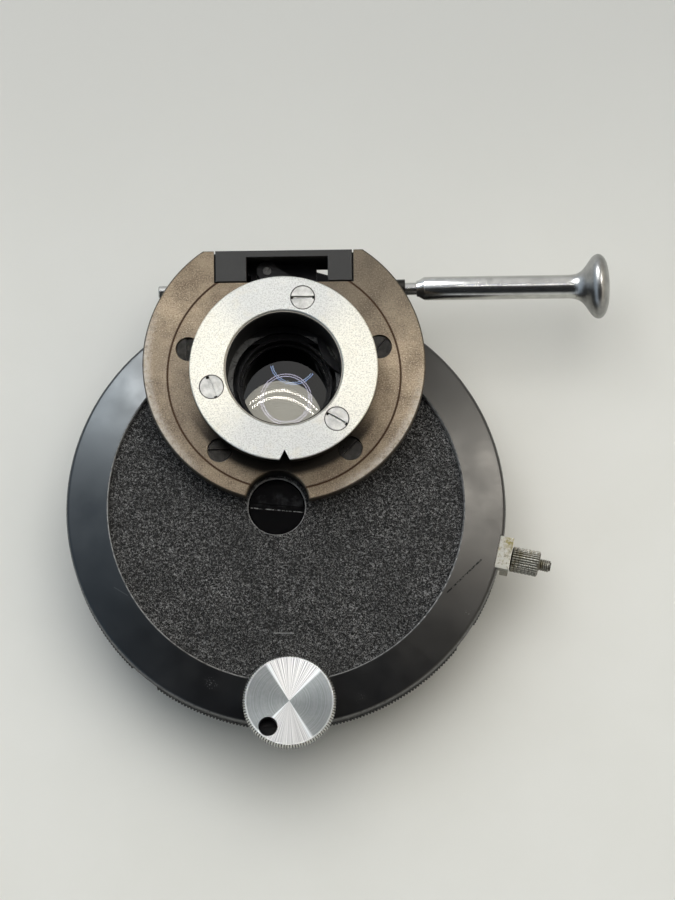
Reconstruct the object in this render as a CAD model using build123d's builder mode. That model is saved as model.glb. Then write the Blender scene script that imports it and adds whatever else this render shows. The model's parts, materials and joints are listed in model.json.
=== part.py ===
"""Optical turret attachment: a knurled wheel of four stations between a base and a leathered cover,
with a round dovetail above, a push-pull rod that swings a thin prism into the light path, a geared
drive knob and a lock screw.  Millimetres.  The origin is on the light path, on the lower seat; X runs
along the rod towards its handle, Z is up the light path, and the turret lies towards -Y."""

import os
from math import acos, asin, atan2, cos, degrees, hypot, pi, radians, sin, tan

from build123d import *

# ---------------------------------------------------------------- driving dimensions
fit = 0.03  # radial running clearance of small shafts

# heights of the layers above the lower seat
base_z = 10.9
wheel_z = 14.2
rim_top = 19.0
cover_skirt_z = 19.3
ceiling_z = 21.0
cover_floor = 22.0
plate_bottom = 27.0
plate_z = 30.0
land_z = 34.9
ring_top = 37.9

# the turret
wheel_y = -31.0  # axle, measured from the light path
station_radius = -wheel_y
wheel_radius = 52.8
cover_radius = 52.8
leather_radius = 42.6
gear_module = 0.8
gear_teeth = 110
pinion_teeth = 10
knob_angle = -89.6  # direction of the knob from the axle
gear_z = 19.2
gear_width = 1.45

# the dovetail plate and the housing under it
plate_centre_y = 3.0
plate_radius = 34.0
plate_flat_y = 31.0
housing_radius = 33.4
tube_radius = 14.1
dovetail_radius = 22.5
neck_radius = 20.6
clear_radius = 12.5  # light path through cover and base

# the window behind the plate
window_x0, window_x1 = -8.8, 10.8
window_y0 = 23.0
wall_y = 30.15
bracket_x0, bracket_x1 = -16.3, 16.7
bracket_gap = 0.35  # on each side, to the plate

# slotted plug over the axle, set off its centre
plug_x, plug_y, plug_radius = -2.2, -30.9, 6.8
scallop_radius = 7.65

# the rod and the arm that it swings
rod_radius = 1.5
rod_y = 23.33
rod_z = 20.6
rack_module = 0.5
sector_teeth = 13
sector_radius = rack_module * sector_teeth / 2
pivot_x, pivot_y = -3.9, 27.35
swing_angle = 45.0
handle_x0, handle_x1 = 32.3, 77.9

# M3 slotted screws
m3 = 1.5
m3_head = 2.75

# ---------------------------------------------------------------- derived places
gear_radius = gear_module * gear_teeth / 2
pinion_radius = gear_module * pinion_teeth / 2
knob_reach = gear_radius + pinion_radius
knob_x = knob_reach * cos(radians(knob_angle))
knob_y = wheel_y + knob_reach * sin(radians(knob_angle))
arm_length = hypot(pivot_x, pivot_y)
arm_in = degrees(atan2(-pivot_y, -pivot_x))  # direction of the cell when it is in the light path
arm_rest = arm_in + swing_angle
cell_x = pivot_x + arm_length * cos(radians(arm_rest))
cell_y = pivot_y + arm_length * sin(radians(arm_rest))
lock_angle = -12.6
rack_y = pivot_y - sector_radius  # pitch line of the rack
rod_travel = radians(swing_angle) * sector_radius

pieces = {}


def at(height):
    """Horizontal sketch plane at a height."""
    return Plane.XY.offset(height)


def axle_plane(height):
    """Horizontal sketch plane with its origin on the turret's axle."""
    return Plane((0, wheel_y, height))


def polar(radius, angle):
    """Point at a radius and an angle in degrees."""
    return radius * cos(radians(angle)), radius * sin(radians(angle))


def keep(name, piece):
    """Registers a finished piece under its node name."""
    piece.part.label = name
    pieces[name] = piece.part


def turned(points, centre=(0, 0)):
    """Solid of revolution about a vertical axis from an outline of (radius, height) points."""
    with BuildPart() as body:
        with BuildSketch(Plane.XZ.offset(-centre[1])) as half:
            with BuildLine():
                Polyline(*[(centre[0] + r, z) for r, z in points], close=True)
            make_face()
        axis = Axis((centre[0], centre[1], 0), (0, 0, 1))
        revolve(axis=axis)
    return body.part


def pipe(outer, inner, bottom, top, centre=(0, 0)):
    """Ring or tube with a vertical axis."""
    return turned([(inner, bottom), (outer, bottom), (outer, top), (inner, top)], centre)


def dome(edge_radius, rise):
    """Middle point, as radius and height over the edge, of a dome's arc that crosses its axis square."""
    ball = (edge_radius**2 + rise**2) / (2 * rise)
    half = asin(edge_radius / ball) / 2
    return ball * sin(half), ball * cos(half) - (ball - rise)


def rod_between(radius, start, end):
    """Plain round bar between two points, for drilling and for pins."""
    way = Vector(*end) - Vector(*start)
    plane = Plane(origin=start, z_dir=way)
    with BuildPart() as bar:
        with BuildSketch(plane):
            Circle(radius)
        extrude(amount=way.length)
    return bar.part


def slotted_screw(head, shank, top, head_depth, bottom, slot_angle, countersunk=True):
    """Slotted screw with its head up, standing on the vertical axis."""
    if countersunk:
        outline = [(0, bottom), (shank, bottom), (shank, top - head_depth), (head, top - 0.25)]
    else:
        outline = [(0, bottom), (shank, bottom), (shank, top - head_depth), (head, top - head_depth)]
    outline += [(head, top), (0, top)]
    with BuildPart() as screw:
        add(turned(outline))
        with BuildSketch(at(top)):
            Rectangle(3 * head, 0.28 * head, rotation=slot_angle)
        extrude(amount=-0.22 * head - 0.1, mode=Mode.SUBTRACT)
    return screw.part


def countersunk_hole(head, shank, top, head_depth, bottom):
    """Cutter for a countersunk screw whose head ends at a level, with a little room round the head."""
    room = 0.06
    return turned([(0, bottom), (shank, bottom), (shank, top - head_depth - 0.1),
                   (head + room, top - 0.3), (head + room, top + 2), (0, top + 2)])


def tooth_points(teeth, module, reach, depth, share, phase, span=None):
    """Outline of an involute gear: root, base, pitch and tip points of each flank in turn."""
    pitch = module * teeth / 2
    base = pitch * cos(radians(20))
    half = share * pi / teeth  # half a tooth's angle on the pitch circle

    def flank(radius):
        slope = acos(base / radius) if radius > base else 0.0
        return half + (tan(radians(20)) - radians(20)) - (tan(slope) - slope)

    radii = [pitch - depth * module, max(base, pitch - 0.6 * depth * module), pitch, pitch + reach * module]
    points = []
    for tooth in range(teeth) if span is None else span:
        middle = radians(phase) + 2 * pi * tooth / teeth
        points += [(r, middle - flank(r)) for r in radii]
        points += [(r, middle + flank(r)) for r in reversed(radii)]
    return [(r * cos(a), r * sin(a)) for r, a in points]


# ---------------------------------------------------------------- base
def housing_block(bottom, top, radius=housing_radius, scallop=None):
    """Prism on the housing's plan: a circle cut off straight at the back, scalloped for the plug."""
    with BuildPart() as block:
        with BuildSketch(Plane((0, plate_centre_y, bottom))):
            Circle(radius)
            with Locations((0, plate_flat_y - plate_centre_y + radius)):
                Rectangle(2 * radius, 2 * radius, mode=Mode.SUBTRACT)
            if scallop:
                with Locations((plug_x + 0.2, plug_y - 0.1 - plate_centre_y)):
                    Circle(scallop, mode=Mode.SUBTRACT)
        extrude(amount=top - bottom)
    return block.part


flange_screw_radius = 19.0
housing_screw_spots = [(-19.0, 27.0), (19.0, 27.0)]
sight_slots = [(8.1, 10.8, 25.2, 31.5), (-8.8, -7.8, 25.2, 27.4)]


def sight_slot_tools(bottom, top):
    """Cutters for the two gaps that go right down behind the rod."""
    tools = []
    for x0, x1, y0, y1 in sight_slots:
        with BuildPart() as cutter:
            with BuildSketch(at(bottom)):
                with Locations(((x0 + x1) / 2, (y0 + y1) / 2)):
                    Rectangle(x1 - x0, y1 - y0)
            extrude(amount=top - bottom)
        tools.append(cutter.part)
    return tools


with BuildPart() as base_cover:
    with BuildSketch(axle_plane(base_z)):
        Circle(50.5)
    extrude(amount=3.0)
    add(housing_block(base_z, base_z + 3.0))
    with BuildSketch(at(base_z)):
        Circle(clear_radius)
        with Locations((0, wheel_y)):
            Circle(3.0)
    extrude(amount=3.0, mode=Mode.SUBTRACT)
    for tool in sight_slot_tools(base_z - 1, base_z + 4):
        add(tool, mode=Mode.SUBTRACT)
    for x, y in housing_screw_spots:
        hole = countersunk_hole(m3_head, m3, 0, 1.6, -5).rotate(Axis.X, 180)
        add(hole.moved(Location((x, y, base_z + 0.02))), mode=Mode.SUBTRACT)
    for angle in (45, 135, 225, 315):
        add(pipe(m3, 0.0, base_z - 1, base_z + 2.6, polar(flange_screw_radius, angle)), mode=Mode.SUBTRACT)
keep("base_cover", base_cover)

# lower mount: a seat flange with a round socket for the mating dovetail
socket_radius = 22.6
socket_depth = 5.0
clamp_z = 2.65
flange_web = [
    (clear_radius, socket_depth), (socket_radius, socket_depth), (socket_radius, 0), (33.0, 0),
    (33.0, 4.6), (32.6, 5.0), (25.5, 5.0), (25.5, base_z), (13.6, base_z), (13.6, 6.2), (clear_radius, 6.2),
]
with BuildPart() as lower_flange:
    add(turned(flange_web))
    for angle in (45, 135, 225, 315):
        x, y = polar(flange_screw_radius, angle)
        hole = countersunk_hole(m3_head, m3, 0, 1.55, -8).rotate(Axis.X, 180)
        add(hole.moved(Location((x, y, socket_depth + 0.02))), mode=Mode.SUBTRACT)
    add(rod_between(m3, (0, -20, clamp_z), (0, -40, clamp_z)), mode=Mode.SUBTRACT)
keep("lower_flange", lower_flange)

with BuildPart() as flange_screws:
    for angle in (45, 135, 225, 315):
        screw = slotted_screw(m3_head, m3, 0, 1.55, -8.4, 30)
        x, y = polar(flange_screw_radius, angle)
        add(screw.rotate(Axis.X, 180).moved(Location((x, y, socket_depth + 0.02))))
keep("flange_screws", flange_screws)

with BuildPart() as socket_clamp_screw:
    add(rod_between(m3, (0, -22.9, clamp_z), (0, -33.4, clamp_z)))
    add(rod_between(2.6, (0, -33.4, clamp_z), (0, -36.8, clamp_z)))
    with BuildSketch(Plane((0, -36.8, clamp_z), z_dir=(0, -1, 0))):
        Rectangle(0.7, 8)
    extrude(amount=-0.8, mode=Mode.SUBTRACT)
keep("socket_clamp_screw", socket_clamp_screw)

with BuildPart() as lower_window:
    add(turned([(0, 6.2), (13.5, 6.2), (13.5, 8.0), (0, 8.0)]))
keep("lower_window", lower_window)

with BuildPart() as window_retainer:
    add(pipe(13.55, 12.4, 8.0, 9.4))
    for angle in (0, 90):
        with BuildSketch(at(9.4)):
            Rectangle(30, 1.0, rotation=angle)
        extrude(amount=-0.6, mode=Mode.SUBTRACT)
keep("window_retainer", window_retainer)

# ---------------------------------------------------------------- axle
with BuildPart() as centre_axle:
    add(turned([(0, 7.4), (3.0, 7.4), (3.0, base_z + 3.0), (5.6, base_z + 3.0), (5.6, base_z + 3.25),
                (3.0, base_z + 3.25), (3.0, 22.3), (0, 22.3)], (0, wheel_y)))
keep("centre_axle", centre_axle)

with BuildPart() as axle_washer:
    add(pipe(5.2, 3.0, base_z - 0.6, base_z, (0, wheel_y)))
keep("axle_washer", axle_washer)

with BuildPart() as axle_nut:
    with BuildSketch(axle_plane(base_z - 3.2)):
        RegularPolygon(4.8, 6, major_radius=True)
        Circle(3.0, mode=Mode.SUBTRACT)
    extrude(amount=2.6)
keep("axle_nut", axle_nut)

# ---------------------------------------------------------------- rear block, with the rod's channel
plunger_z = 15.9
guide_x = 12.0

with BuildPart() as rear_block:
    add(housing_block(base_z + 3.0, cover_floor))
    add(pipe(wheel_radius + 1.0, 0.0, base_z, 30, (0, wheel_y)), mode=Mode.SUBTRACT)
    # pocket for the sector and channel for the rod
    with BuildSketch(at(19.2)):
        with Locations(((window_x0 + window_x1) / 2, (20 + wall_y) / 2)):
            Rectangle(window_x1 - window_x0, wall_y - 20)
    extrude(amount=5, mode=Mode.SUBTRACT)
    add(rod_between(1.9, (-40, rod_y, rod_z), (40, rod_y, rod_z)), mode=Mode.SUBTRACT)
    with BuildSketch(at(rod_z)):
        with Locations((0, rod_y)):
            Rectangle(80, 3.8)
    extrude(amount=3, mode=Mode.SUBTRACT)
    for side in (-1, 1):
        add(rod_between(2.3, (side * 22, rod_y, rod_z), (side * 40, rod_y, rod_z)), mode=Mode.SUBTRACT)
    # seat of the bracket's wall
    with BuildSketch(at(base_z + 3.0)):
        with Locations(((bracket_x0 + bracket_x1) / 2, wall_y + 1)):
            Rectangle(bracket_x1 - bracket_x0, 2)
    extrude(amount=12, mode=Mode.SUBTRACT)
    for tool in sight_slot_tools(base_z, 24):
        add(tool, mode=Mode.SUBTRACT)
    for x, y in housing_screw_spots:
        add(pipe(m3, 0.0, base_z, 24, (x, y)), mode=Mode.SUBTRACT)
    # detent bore, guide screw, pivot screw and bracket screws
    add(rod_between(1.24, (0, 20, plunger_z), (0, 29.0, plunger_z)), mode=Mode.SUBTRACT)
    add(rod_between(1.5, (0, 28.9, plunger_z), (0, 33, plunger_z)), mode=Mode.SUBTRACT)
    add(pipe(m3, 0.0, base_z, 18.6, (guide_x, rod_y)), mode=Mode.SUBTRACT)
    add(pipe(1.0, 0.0, 18.5, 20, (guide_x, rod_y)), mode=Mode.SUBTRACT)
    add(pipe(0.7, 0.0, 15.5, 20, (pivot_x, pivot_y)), mode=Mode.SUBTRACT)
    for x in (-13, 13):
        add(rod_between(1.0, (x, 26.4, 16.5), (x, 33, 16.5)), mode=Mode.SUBTRACT)
keep("rear_block", rear_block)

with BuildPart() as rod_guide_screw:
    add(turned([(0, 14.6), (m3, 14.6), (m3, 18.5), (1.0, 18.5), (1.0, 19.95), (0, 19.95)], (guide_x, rod_y)))
    with BuildSketch(at(14.6)):
        with Locations((guide_x, rod_y)):
            Rectangle(4, 0.6)
    extrude(amount=0.7, mode=Mode.SUBTRACT)
keep("rod_guide_screw", rod_guide_screw)

bush_outer_face = {-1: -27.3, 1: 29.5}
for side, name in ((-1, "rod_bush_left"), (1, "rod_bush_right")):
    with BuildPart() as rod_bush:
        inner_x, outer_x = side * 22.0, side * 27.0
        add(rod_between(2.3, (inner_x, rod_y, rod_z), (outer_x, rod_y, rod_z)))
        add(rod_between(2.3, (outer_x, rod_y, rod_z), (bush_outer_face[side], rod_y, rod_z)))
        add(rod_between(rod_radius + fit, (side * 20, rod_y, rod_z), (side * 31, rod_y, rod_z)),
            mode=Mode.SUBTRACT)
    keep(name, rod_bush)

# ---------------------------------------------------------------- swing housing
plate_screw_angles = {16.3: 50, 163.6: 90, 229.3: 0, 310.8: 45}  # place and slot direction
plate_screw_radius = 24.0
cover_screw_spots = [(-26.5, -2.0), (-13.0, -25.5), (13.0, -25.5), (25.5, -11.0)]
chamber_top = 24.6
swing_clear = 10.6
swing_line = CenterArc((0, 0), arm_length, arm_in, swing_angle)

with BuildPart() as swing_housing:
    add(housing_block(cover_floor, plate_bottom, scallop=scallop_radius))
    with BuildSketch(Plane((pivot_x, pivot_y, cover_floor))):
        SlotArc(swing_line, 2 * swing_clear)
        Polygon(polar(3.3, arm_in - 90), polar(24, arm_in - 14), polar(24, arm_rest + 14),
                polar(3.3, arm_rest + 90), align=None)
        Circle(3.4)
    extrude(amount=chamber_top - cover_floor, mode=Mode.SUBTRACT)
    with BuildSketch(at(cover_floor)):
        Circle(tube_radius)
    extrude(amount=6, mode=Mode.SUBTRACT)
    with BuildSketch(at(cover_floor)):
        with Locations(((window_x0 + window_x1) / 2, (window_y0 + 33) / 2)):
            Rectangle(window_x1 - window_x0, 33 - window_y0)
        with Locations(((bracket_x0 + bracket_x1) / 2, wall_y + 1)):
            Rectangle(bracket_x1 - bracket_x0, 2)
    extrude(amount=6, mode=Mode.SUBTRACT)
    add(rod_between(1.9, (-40, rod_y, rod_z), (40, rod_y, rod_z)), mode=Mode.SUBTRACT)
    for side in (-1, 1):
        add(rod_between(2.3, (side * 22, rod_y, rod_z), (side * 40, rod_y, rod_z)), mode=Mode.SUBTRACT)
    for x, y in housing_screw_spots:
        add(pipe(m3, 0.0, cover_floor, 26.0, (x, y)), mode=Mode.SUBTRACT)
    for x, y in cover_screw_spots:
        add(pipe(1.0, 0.0, cover_floor, 25.6, (x, y)), mode=Mode.SUBTRACT)
    for angle in plate_screw_angles:
        add(pipe(m3, 0.0, 24.7, 28, polar(plate_screw_radius, angle)), mode=Mode.SUBTRACT)
    for x in (-13, 13):
        add(rod_between(1.0, (x, 26.4, 25.8), (x, 33, 25.8)), mode=Mode.SUBTRACT)
keep("swing_housing", swing_housing)

with BuildPart() as housing_screws:
    for x, y in housing_screw_spots:
        screw = slotted_screw(m3_head, m3, 0, 1.6, -14.8, 0)
        add(screw.rotate(Axis.X, 180).moved(Location((x, y, base_z + 0.02))))
keep("housing_screws", housing_screws)

# ---------------------------------------------------------------- cover
boss_radius = 9.8
boss_top = 24.7
bearing_screw_angles = (230, 350, 110)
bearing_screw_radius = 7.4

with BuildPart() as top_cover:
    with BuildSketch(Plane.XZ.offset(-wheel_y)):
        with BuildLine():
            Line((0, ceiling_z), (50.2, ceiling_z))
            Line((50.2, ceiling_z), (50.2, cover_skirt_z))
            Line((50.2, cover_skirt_z), (cover_radius, cover_skirt_z))
            Line((cover_radius, cover_skirt_z), (cover_radius, 21.6))
            TangentArc((cover_radius, 21.6), (cover_radius - 1.0, 22.78), tangent=(0, 1))
            Line((cover_radius - 1.0, 22.78), (leather_radius + 0.35, 25.42))
            TangentArc((leather_radius + 0.35, 25.42), (leather_radius, 25.1), tangent=(-0.96, 0.27))
            Line((leather_radius, 25.1), (leather_radius, 23.4))
            Line((leather_radius, 23.4), (0, 23.4))
            Line((0, 23.4), (0, ceiling_z))
        make_face()
    revolve(axis=Axis((0, wheel_y, 0), (0, 0, 1)))
    # boss that carries the knob's bearing, and the pinion's pocket under it
    add(pipe(boss_radius, 0.0, cover_skirt_z, boss_top, (knob_x, knob_y)))
    add(pipe(50.2, 0.0, 15, ceiling_z, (0, wheel_y)), mode=Mode.SUBTRACT)
    add(pipe(boss_radius + 0.1, 0.0, boss_top, 30, (knob_x, knob_y)), mode=Mode.SUBTRACT)
    add(pipe(5.3, 0.0, 15, ceiling_z, (knob_x, knob_y)), mode=Mode.SUBTRACT)
    add(pipe(4.0, 0.0, 15, 30, (knob_x, knob_y)), mode=Mode.SUBTRACT)
    for angle in bearing_screw_angles:
        x, y = polar(bearing_screw_radius, angle)
        add(pipe(1.0, 0.0, 21.6, 30, (knob_x + x, knob_y + y)), mode=Mode.SUBTRACT)
    # seat of the swing housing, light path, plug bore, and room for the rod
    add(housing_block(cover_floor, 40, housing_radius + 0.05, scallop_radius - 0.05), mode=Mode.SUBTRACT)
    add(pipe(clear_radius, 0.0, 15, 40), mode=Mode.SUBTRACT)
    add(pipe(plug_radius + 0.02, 0.0, 15, 40, (plug_x, plug_y)), mode=Mode.SUBTRACT)
    with BuildSketch(at(15)):
        with Locations((0, 26.2)):
            Rectangle(30, 10)
    extrude(amount=12, mode=Mode.SUBTRACT)
    for x, y in cover_screw_spots:
        add(turned([(0, 20), (1.9, 20), (1.9, 21.1), (1.0, 21.9), (1.0, 23), (0, 23)], (x, y)),
            mode=Mode.SUBTRACT)
    # seat of the lock block, cut square to its own radius
    lock_plane = Plane((0, wheel_y, 14), x_dir=polar(1, lock_angle) + (0,), z_dir=(0, 0, 1))
    with BuildSketch(lock_plane):
        with Locations((51.7 + 3, 0)):
            Rectangle(6, 8.0)
    extrude(amount=12, mode=Mode.SUBTRACT)
keep("top_cover", top_cover)

with BuildPart() as leather_inlay:
    with BuildSketch(axle_plane(23.4)):
        Circle(leather_radius - 0.05)
    extrude(amount=0.8)
    add(pipe(plug_radius + 0.3, 0.0, 20, 30, (plug_x, plug_y)), mode=Mode.SUBTRACT)
    add(pipe(boss_radius + 0.1, 0.0, 20, 30, (knob_x, knob_y)), mode=Mode.SUBTRACT)
    add(housing_block(20, 30, housing_radius + 0.05, scallop_radius - 0.05), mode=Mode.SUBTRACT)
keep("leather_inlay", leather_inlay)

with BuildPart() as cover_screws:
    for x, y in cover_screw_spots:
        add(turned([(0, 21.02), (1.85, 21.02), (1.85, 21.1), (1.0, 21.9), (1.0, 25.2), (0, 25.2)], (x, y)))
keep("cover_screws", cover_screws)

with BuildPart() as eccentric_plug:
    add(pipe(plug_radius, 0.0, ceiling_z, 23.1, (plug_x, plug_y)))
    chamfer(eccentric_plug.edges().group_by(Axis.Z)[-1], 0.3)
    with BuildSketch(Plane((plug_x, plug_y, 23.1))):
        Rectangle(2 * plug_radius + 1, 1.2, rotation=-6)
    extrude(amount=-0.7, mode=Mode.SUBTRACT)
    add(pipe(3.02, 0.0, 15, 22.35, (0, wheel_y)), mode=Mode.SUBTRACT)
keep("eccentric_plug", eccentric_plug)

# ---------------------------------------------------------------- dovetail plate and ring
ring_screw_slots = {74.6: 0, 194.6: -68, 314.6: -30}  # place and slot direction
ring_screw_radius = 17.8
groove_radius, groove_half_width, groove_depth = 28.0, 0.15, 0.18
plate_counterbore, plate_counterbore_floor = 2.95, 27.8
with BuildPart() as dovetail_plate:
    add(housing_block(plate_bottom, plate_z, plate_radius, scallop_radius))
    chamfer(dovetail_plate.edges().group_by(Axis.Z)[-1], 0.25)
    with BuildSketch(at(plate_bottom)):
        Circle(tube_radius)
        with Locations(((bracket_x0 + bracket_x1) / 2, window_y0 + 6)):
            Rectangle(bracket_x1 - bracket_x0 + 2 * bracket_gap, 12)
    extrude(amount=4, mode=Mode.SUBTRACT)
    with BuildSketch(at(plate_z)):
        Circle(groove_radius + groove_half_width)
        Circle(groove_radius - groove_half_width, mode=Mode.SUBTRACT)
    extrude(amount=-groove_depth, mode=Mode.SUBTRACT)
    for angle in plate_screw_angles:
        spot = polar(plate_screw_radius, angle)
        add(turned([(0, 26), (m3, 26), (m3, plate_counterbore_floor),
                    (plate_counterbore, plate_counterbore_floor), (plate_counterbore, 31), (0, 31)], spot),
            mode=Mode.SUBTRACT)
    for angle in ring_screw_slots:
        add(pipe(m3, 0.0, 26, 31, polar(ring_screw_radius, angle)), mode=Mode.SUBTRACT)
keep("dovetail_plate", dovetail_plate)

with BuildPart() as plate_screws:
    for angle, slot in plate_screw_angles.items():
        x, y = polar(plate_screw_radius, angle)
        screw = slotted_screw(m3_head, m3, 29.3, 1.5, 25.0, slot, countersunk=False)
        add(screw.moved(Location((x, y, 0))))
keep("plate_screws", plate_screws)

with BuildPart() as dovetail_ring:
    add(turned([(tube_radius, plate_z), (neck_radius, plate_z), (neck_radius, land_z - 1.9),
                (dovetail_radius, land_z), (dovetail_radius, ring_top - 0.2),
                (dovetail_radius - 0.2, ring_top), (tube_radius + 0.25, ring_top),
                (tube_radius, ring_top - 0.25)]))
    with BuildSketch(at(land_z - 2)):
        with BuildLine():
            Polyline((-2.0, -23.9), (0, -20.0), (2.0, -23.9), close=True)
        make_face()
    extrude(amount=6, mode=Mode.SUBTRACT)
    for angle in ring_screw_slots:
        x, y = polar(ring_screw_radius, angle)
        hole = countersunk_hole(m3_head, m3, ring_top - 0.05, 1.6, 29)
        add(hole.moved(Location((x, y, 0))), mode=Mode.SUBTRACT)
keep("dovetail_ring", dovetail_ring)

with BuildPart() as ring_screws:
    for angle, slot in ring_screw_slots.items():
        x, y = polar(ring_screw_radius, angle)
        screw = slotted_screw(m3_head, m3, ring_top - 0.05, 1.6, 27.3, slot)
        add(screw.moved(Location((x, y, 0))))
keep("ring_screws", ring_screws)

with BuildPart() as bore_tube:
    add(turned([(tube_radius - 0.5, 24.8), (tube_radius, 24.8), (tube_radius, ring_top - 0.6),
                (tube_radius - 0.25, ring_top - 0.6), (tube_radius - 0.5, ring_top - 0.85)]))
keep("bore_tube", bore_tube)

# ---------------------------------------------------------------- bracket behind the window
with BuildPart() as stop_bracket:
    with BuildSketch(at(plate_bottom)):
        with Locations(((bracket_x0 + bracket_x1) / 2, (23.3 + plate_flat_y) / 2)):
            Rectangle(bracket_x1 - bracket_x0, plate_flat_y - 23.3)
        with Locations(((window_x0 + window_x1) / 2, (20 + 29.3) / 2)):
            Rectangle(window_x1 - window_x0, 29.3 - 20, mode=Mode.SUBTRACT)
    extrude(amount=plate_z - plate_bottom)
    with BuildSketch(at(base_z + 3.02)):
        with Locations(((bracket_x0 + bracket_x1) / 2, (wall_y + plate_flat_y) / 2)):
            Rectangle(bracket_x1 - bracket_x0 - 0.04, plate_flat_y - wall_y)
    extrude(amount=plate_bottom - base_z - 3.02)
    chamfer(stop_bracket.edges().group_by(Axis.Z)[-1], 0.15)
    add(rod_between(1.6, (0, 29.8, plunger_z), (0, 33, plunger_z)), mode=Mode.SUBTRACT)
    for x in (-13, 13):
        for z in (16.5, 25.8):
            cone = countersunk_hole(1.9, 1.0, plate_flat_y - wall_y, 0.74, -2)
            add(cone.rotate(Axis.X, -90).moved(Location((x, wall_y, z))), mode=Mode.SUBTRACT)
keep("stop_bracket", stop_bracket)

with BuildPart() as bracket_screws:
    for x in (-13, 13):
        for z in (16.5, 25.8):
            screw = slotted_screw(1.9, 1.0, plate_flat_y - wall_y, 0.74, -3.2, 20)
            add(screw.rotate(Axis.X, -90).moved(Location((x, wall_y, z))))
keep("bracket_screws", bracket_screws)

# ---------------------------------------------------------------- click stop behind the wheel
plunger_radius, plunger_tip = 1.2, 0.9
plunger_y0, plunger_y1 = 22.8, 26.1  # drawn back, its tip just clear of the rim
with BuildPart() as detent_plunger:
    add(rod_between(plunger_radius, (0, plunger_y0, plunger_z), (0, plunger_y1, plunger_z)))
    cone = turned([(0, 0), (plunger_radius, 0), (0.3, plunger_tip), (0, plunger_tip)])
    add(cone.rotate(Axis.X, 90).moved(Location((0, plunger_y0, plunger_z))))
keep("detent_plunger", detent_plunger)

with BuildPart() as detent_spring:
    add(rod_between(1.05, (0, plunger_y1 + 0.02, plunger_z), (0, 28.88, plunger_z)))
    add(rod_between(0.65, (0, 25, plunger_z), (0, 30, plunger_z)), mode=Mode.SUBTRACT)
keep("detent_spring", detent_spring)

with BuildPart() as detent_plug:
    add(rod_between(1.5, (0, 28.9, plunger_z), (0, plate_flat_y, plunger_z)))
    with BuildSketch(Plane((0, plate_flat_y, plunger_z), z_dir=(0, 1, 0))):
        Rectangle(4, 0.5, rotation=35)
    extrude(amount=-0.6, mode=Mode.SUBTRACT)
keep("detent_plug", detent_plug)

# ---------------------------------------------------------------- turret wheel
web_top = 16.8
glass_radius = 10.85
station_hole = 11.5
cell_flange = 12.4
cell_flange_top = 15.2
rim_screw_angles = (-35.9, -131.0, 144.1, 49.0)

with BuildPart() as turret_wheel:
    add(turned([(5.0, wheel_z), (46.5, wheel_z), (46.5, rim_top), (41.5, rim_top), (41.5, web_top),
                (9.0, web_top), (9.0, 20.4), (5.0, 20.4)], (0, wheel_y)))
    with BuildSketch(axle_plane(rim_top)):
        with BuildLine():
            Polyline(*tooth_points(gear_teeth, gear_module, 0.75, 1.05, 0.46, knob_angle), close=True)
        make_face()
        Circle(41.5, mode=Mode.SUBTRACT)
    extrude(amount=gear_z + gear_width - rim_top)
    with BuildSketch(axle_plane(wheel_z)):
        with PolarLocations(station_radius, 4, start_angle=90):
            Circle(station_hole)
    extrude(amount=8, mode=Mode.SUBTRACT)
    with BuildSketch(axle_plane(wheel_z)):
        with PolarLocations(station_radius, 4, start_angle=90):
            Circle(cell_flange)
    extrude(amount=cell_flange_top - wheel_z, mode=Mode.SUBTRACT)
    for angle in rim_screw_angles:
        start, end = polar(43, angle), polar(60, angle)
        add(rod_between(1.2, (start[0], wheel_y + start[1], 16.6), (end[0], wheel_y + end[1], 16.6)),
            mode=Mode.SUBTRACT)
keep("turret_wheel", turret_wheel)

with BuildPart() as turret_rim:
    add(turned([(46.5, wheel_z), (52.5, wheel_z), (wheel_radius, wheel_z + 0.3),
                (wheel_radius, rim_top - 0.3), (52.5, rim_top), (46.5, rim_top)], (0, wheel_y)))
    for angle in rim_screw_angles:
        start, end = polar(46, angle), polar(60, angle)
        add(rod_between(1.2, (start[0], wheel_y + start[1], 16.6), (end[0], wheel_y + end[1], 16.6)),
            mode=Mode.SUBTRACT)
        flat_plane = Plane((0, wheel_y, wheel_z - 1), x_dir=polar(1, angle) + (0,), z_dir=(0, 0, 1))
        with BuildSketch(flat_plane):
            with Locations((52.1 + 2, 0)):
                Rectangle(4, 7.4)
        extrude(amount=8, mode=Mode.SUBTRACT)
    # notches for the click stop, under the top of the rim
    for angle in (0, 90, 180, 270):
        with BuildSketch(Plane((0, wheel_y, wheel_z - 1), x_dir=polar(1, angle) + (0,), z_dir=(0, 0, 1))):
            Polygon((53.0, -1.25), (51.9, 0), (53.0, 1.25), align=None)
        extrude(amount=4.2, mode=Mode.SUBTRACT)
keep("turret_rim", turret_rim)

with BuildPart() as rim_screws:
    for angle in rim_screw_angles:
        start, end = polar(43.5, angle), polar(51.6, angle)
        add(rod_between(1.2, (start[0], wheel_y + start[1], 16.6), (end[0], wheel_y + end[1], 16.6)))
keep("rim_screws", rim_screws)

with BuildPart() as wheel_bush:
    add(pipe(5.0, 3.0 + fit, wheel_z + 0.05, 20.6, (0, wheel_y)))
keep("wheel_bush", wheel_bush)


def station_cell(centre):
    """Flanged cell that is let into a station of the wheel from below."""
    return turned([(9.6, 14.3), (cell_flange, 14.3), (cell_flange, cell_flange_top),
                   (station_hole, cell_flange_top), (station_hole, 20.6), (10.9, 20.6), (10.9, 14.95),
                   (9.6, 14.95)], centre)


def retaining_ring(outer, inner, bottom, height, centre):
    """Slotted ring that screws down on a glass."""
    with BuildPart() as ring:
        add(pipe(outer, inner, bottom, bottom + height, centre))
        with BuildSketch(Plane((centre[0], centre[1], bottom + height))):
            Rectangle(2 * outer + 1, 0.9)
        extrude(amount=-0.4, mode=Mode.SUBTRACT)
    return ring


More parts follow.
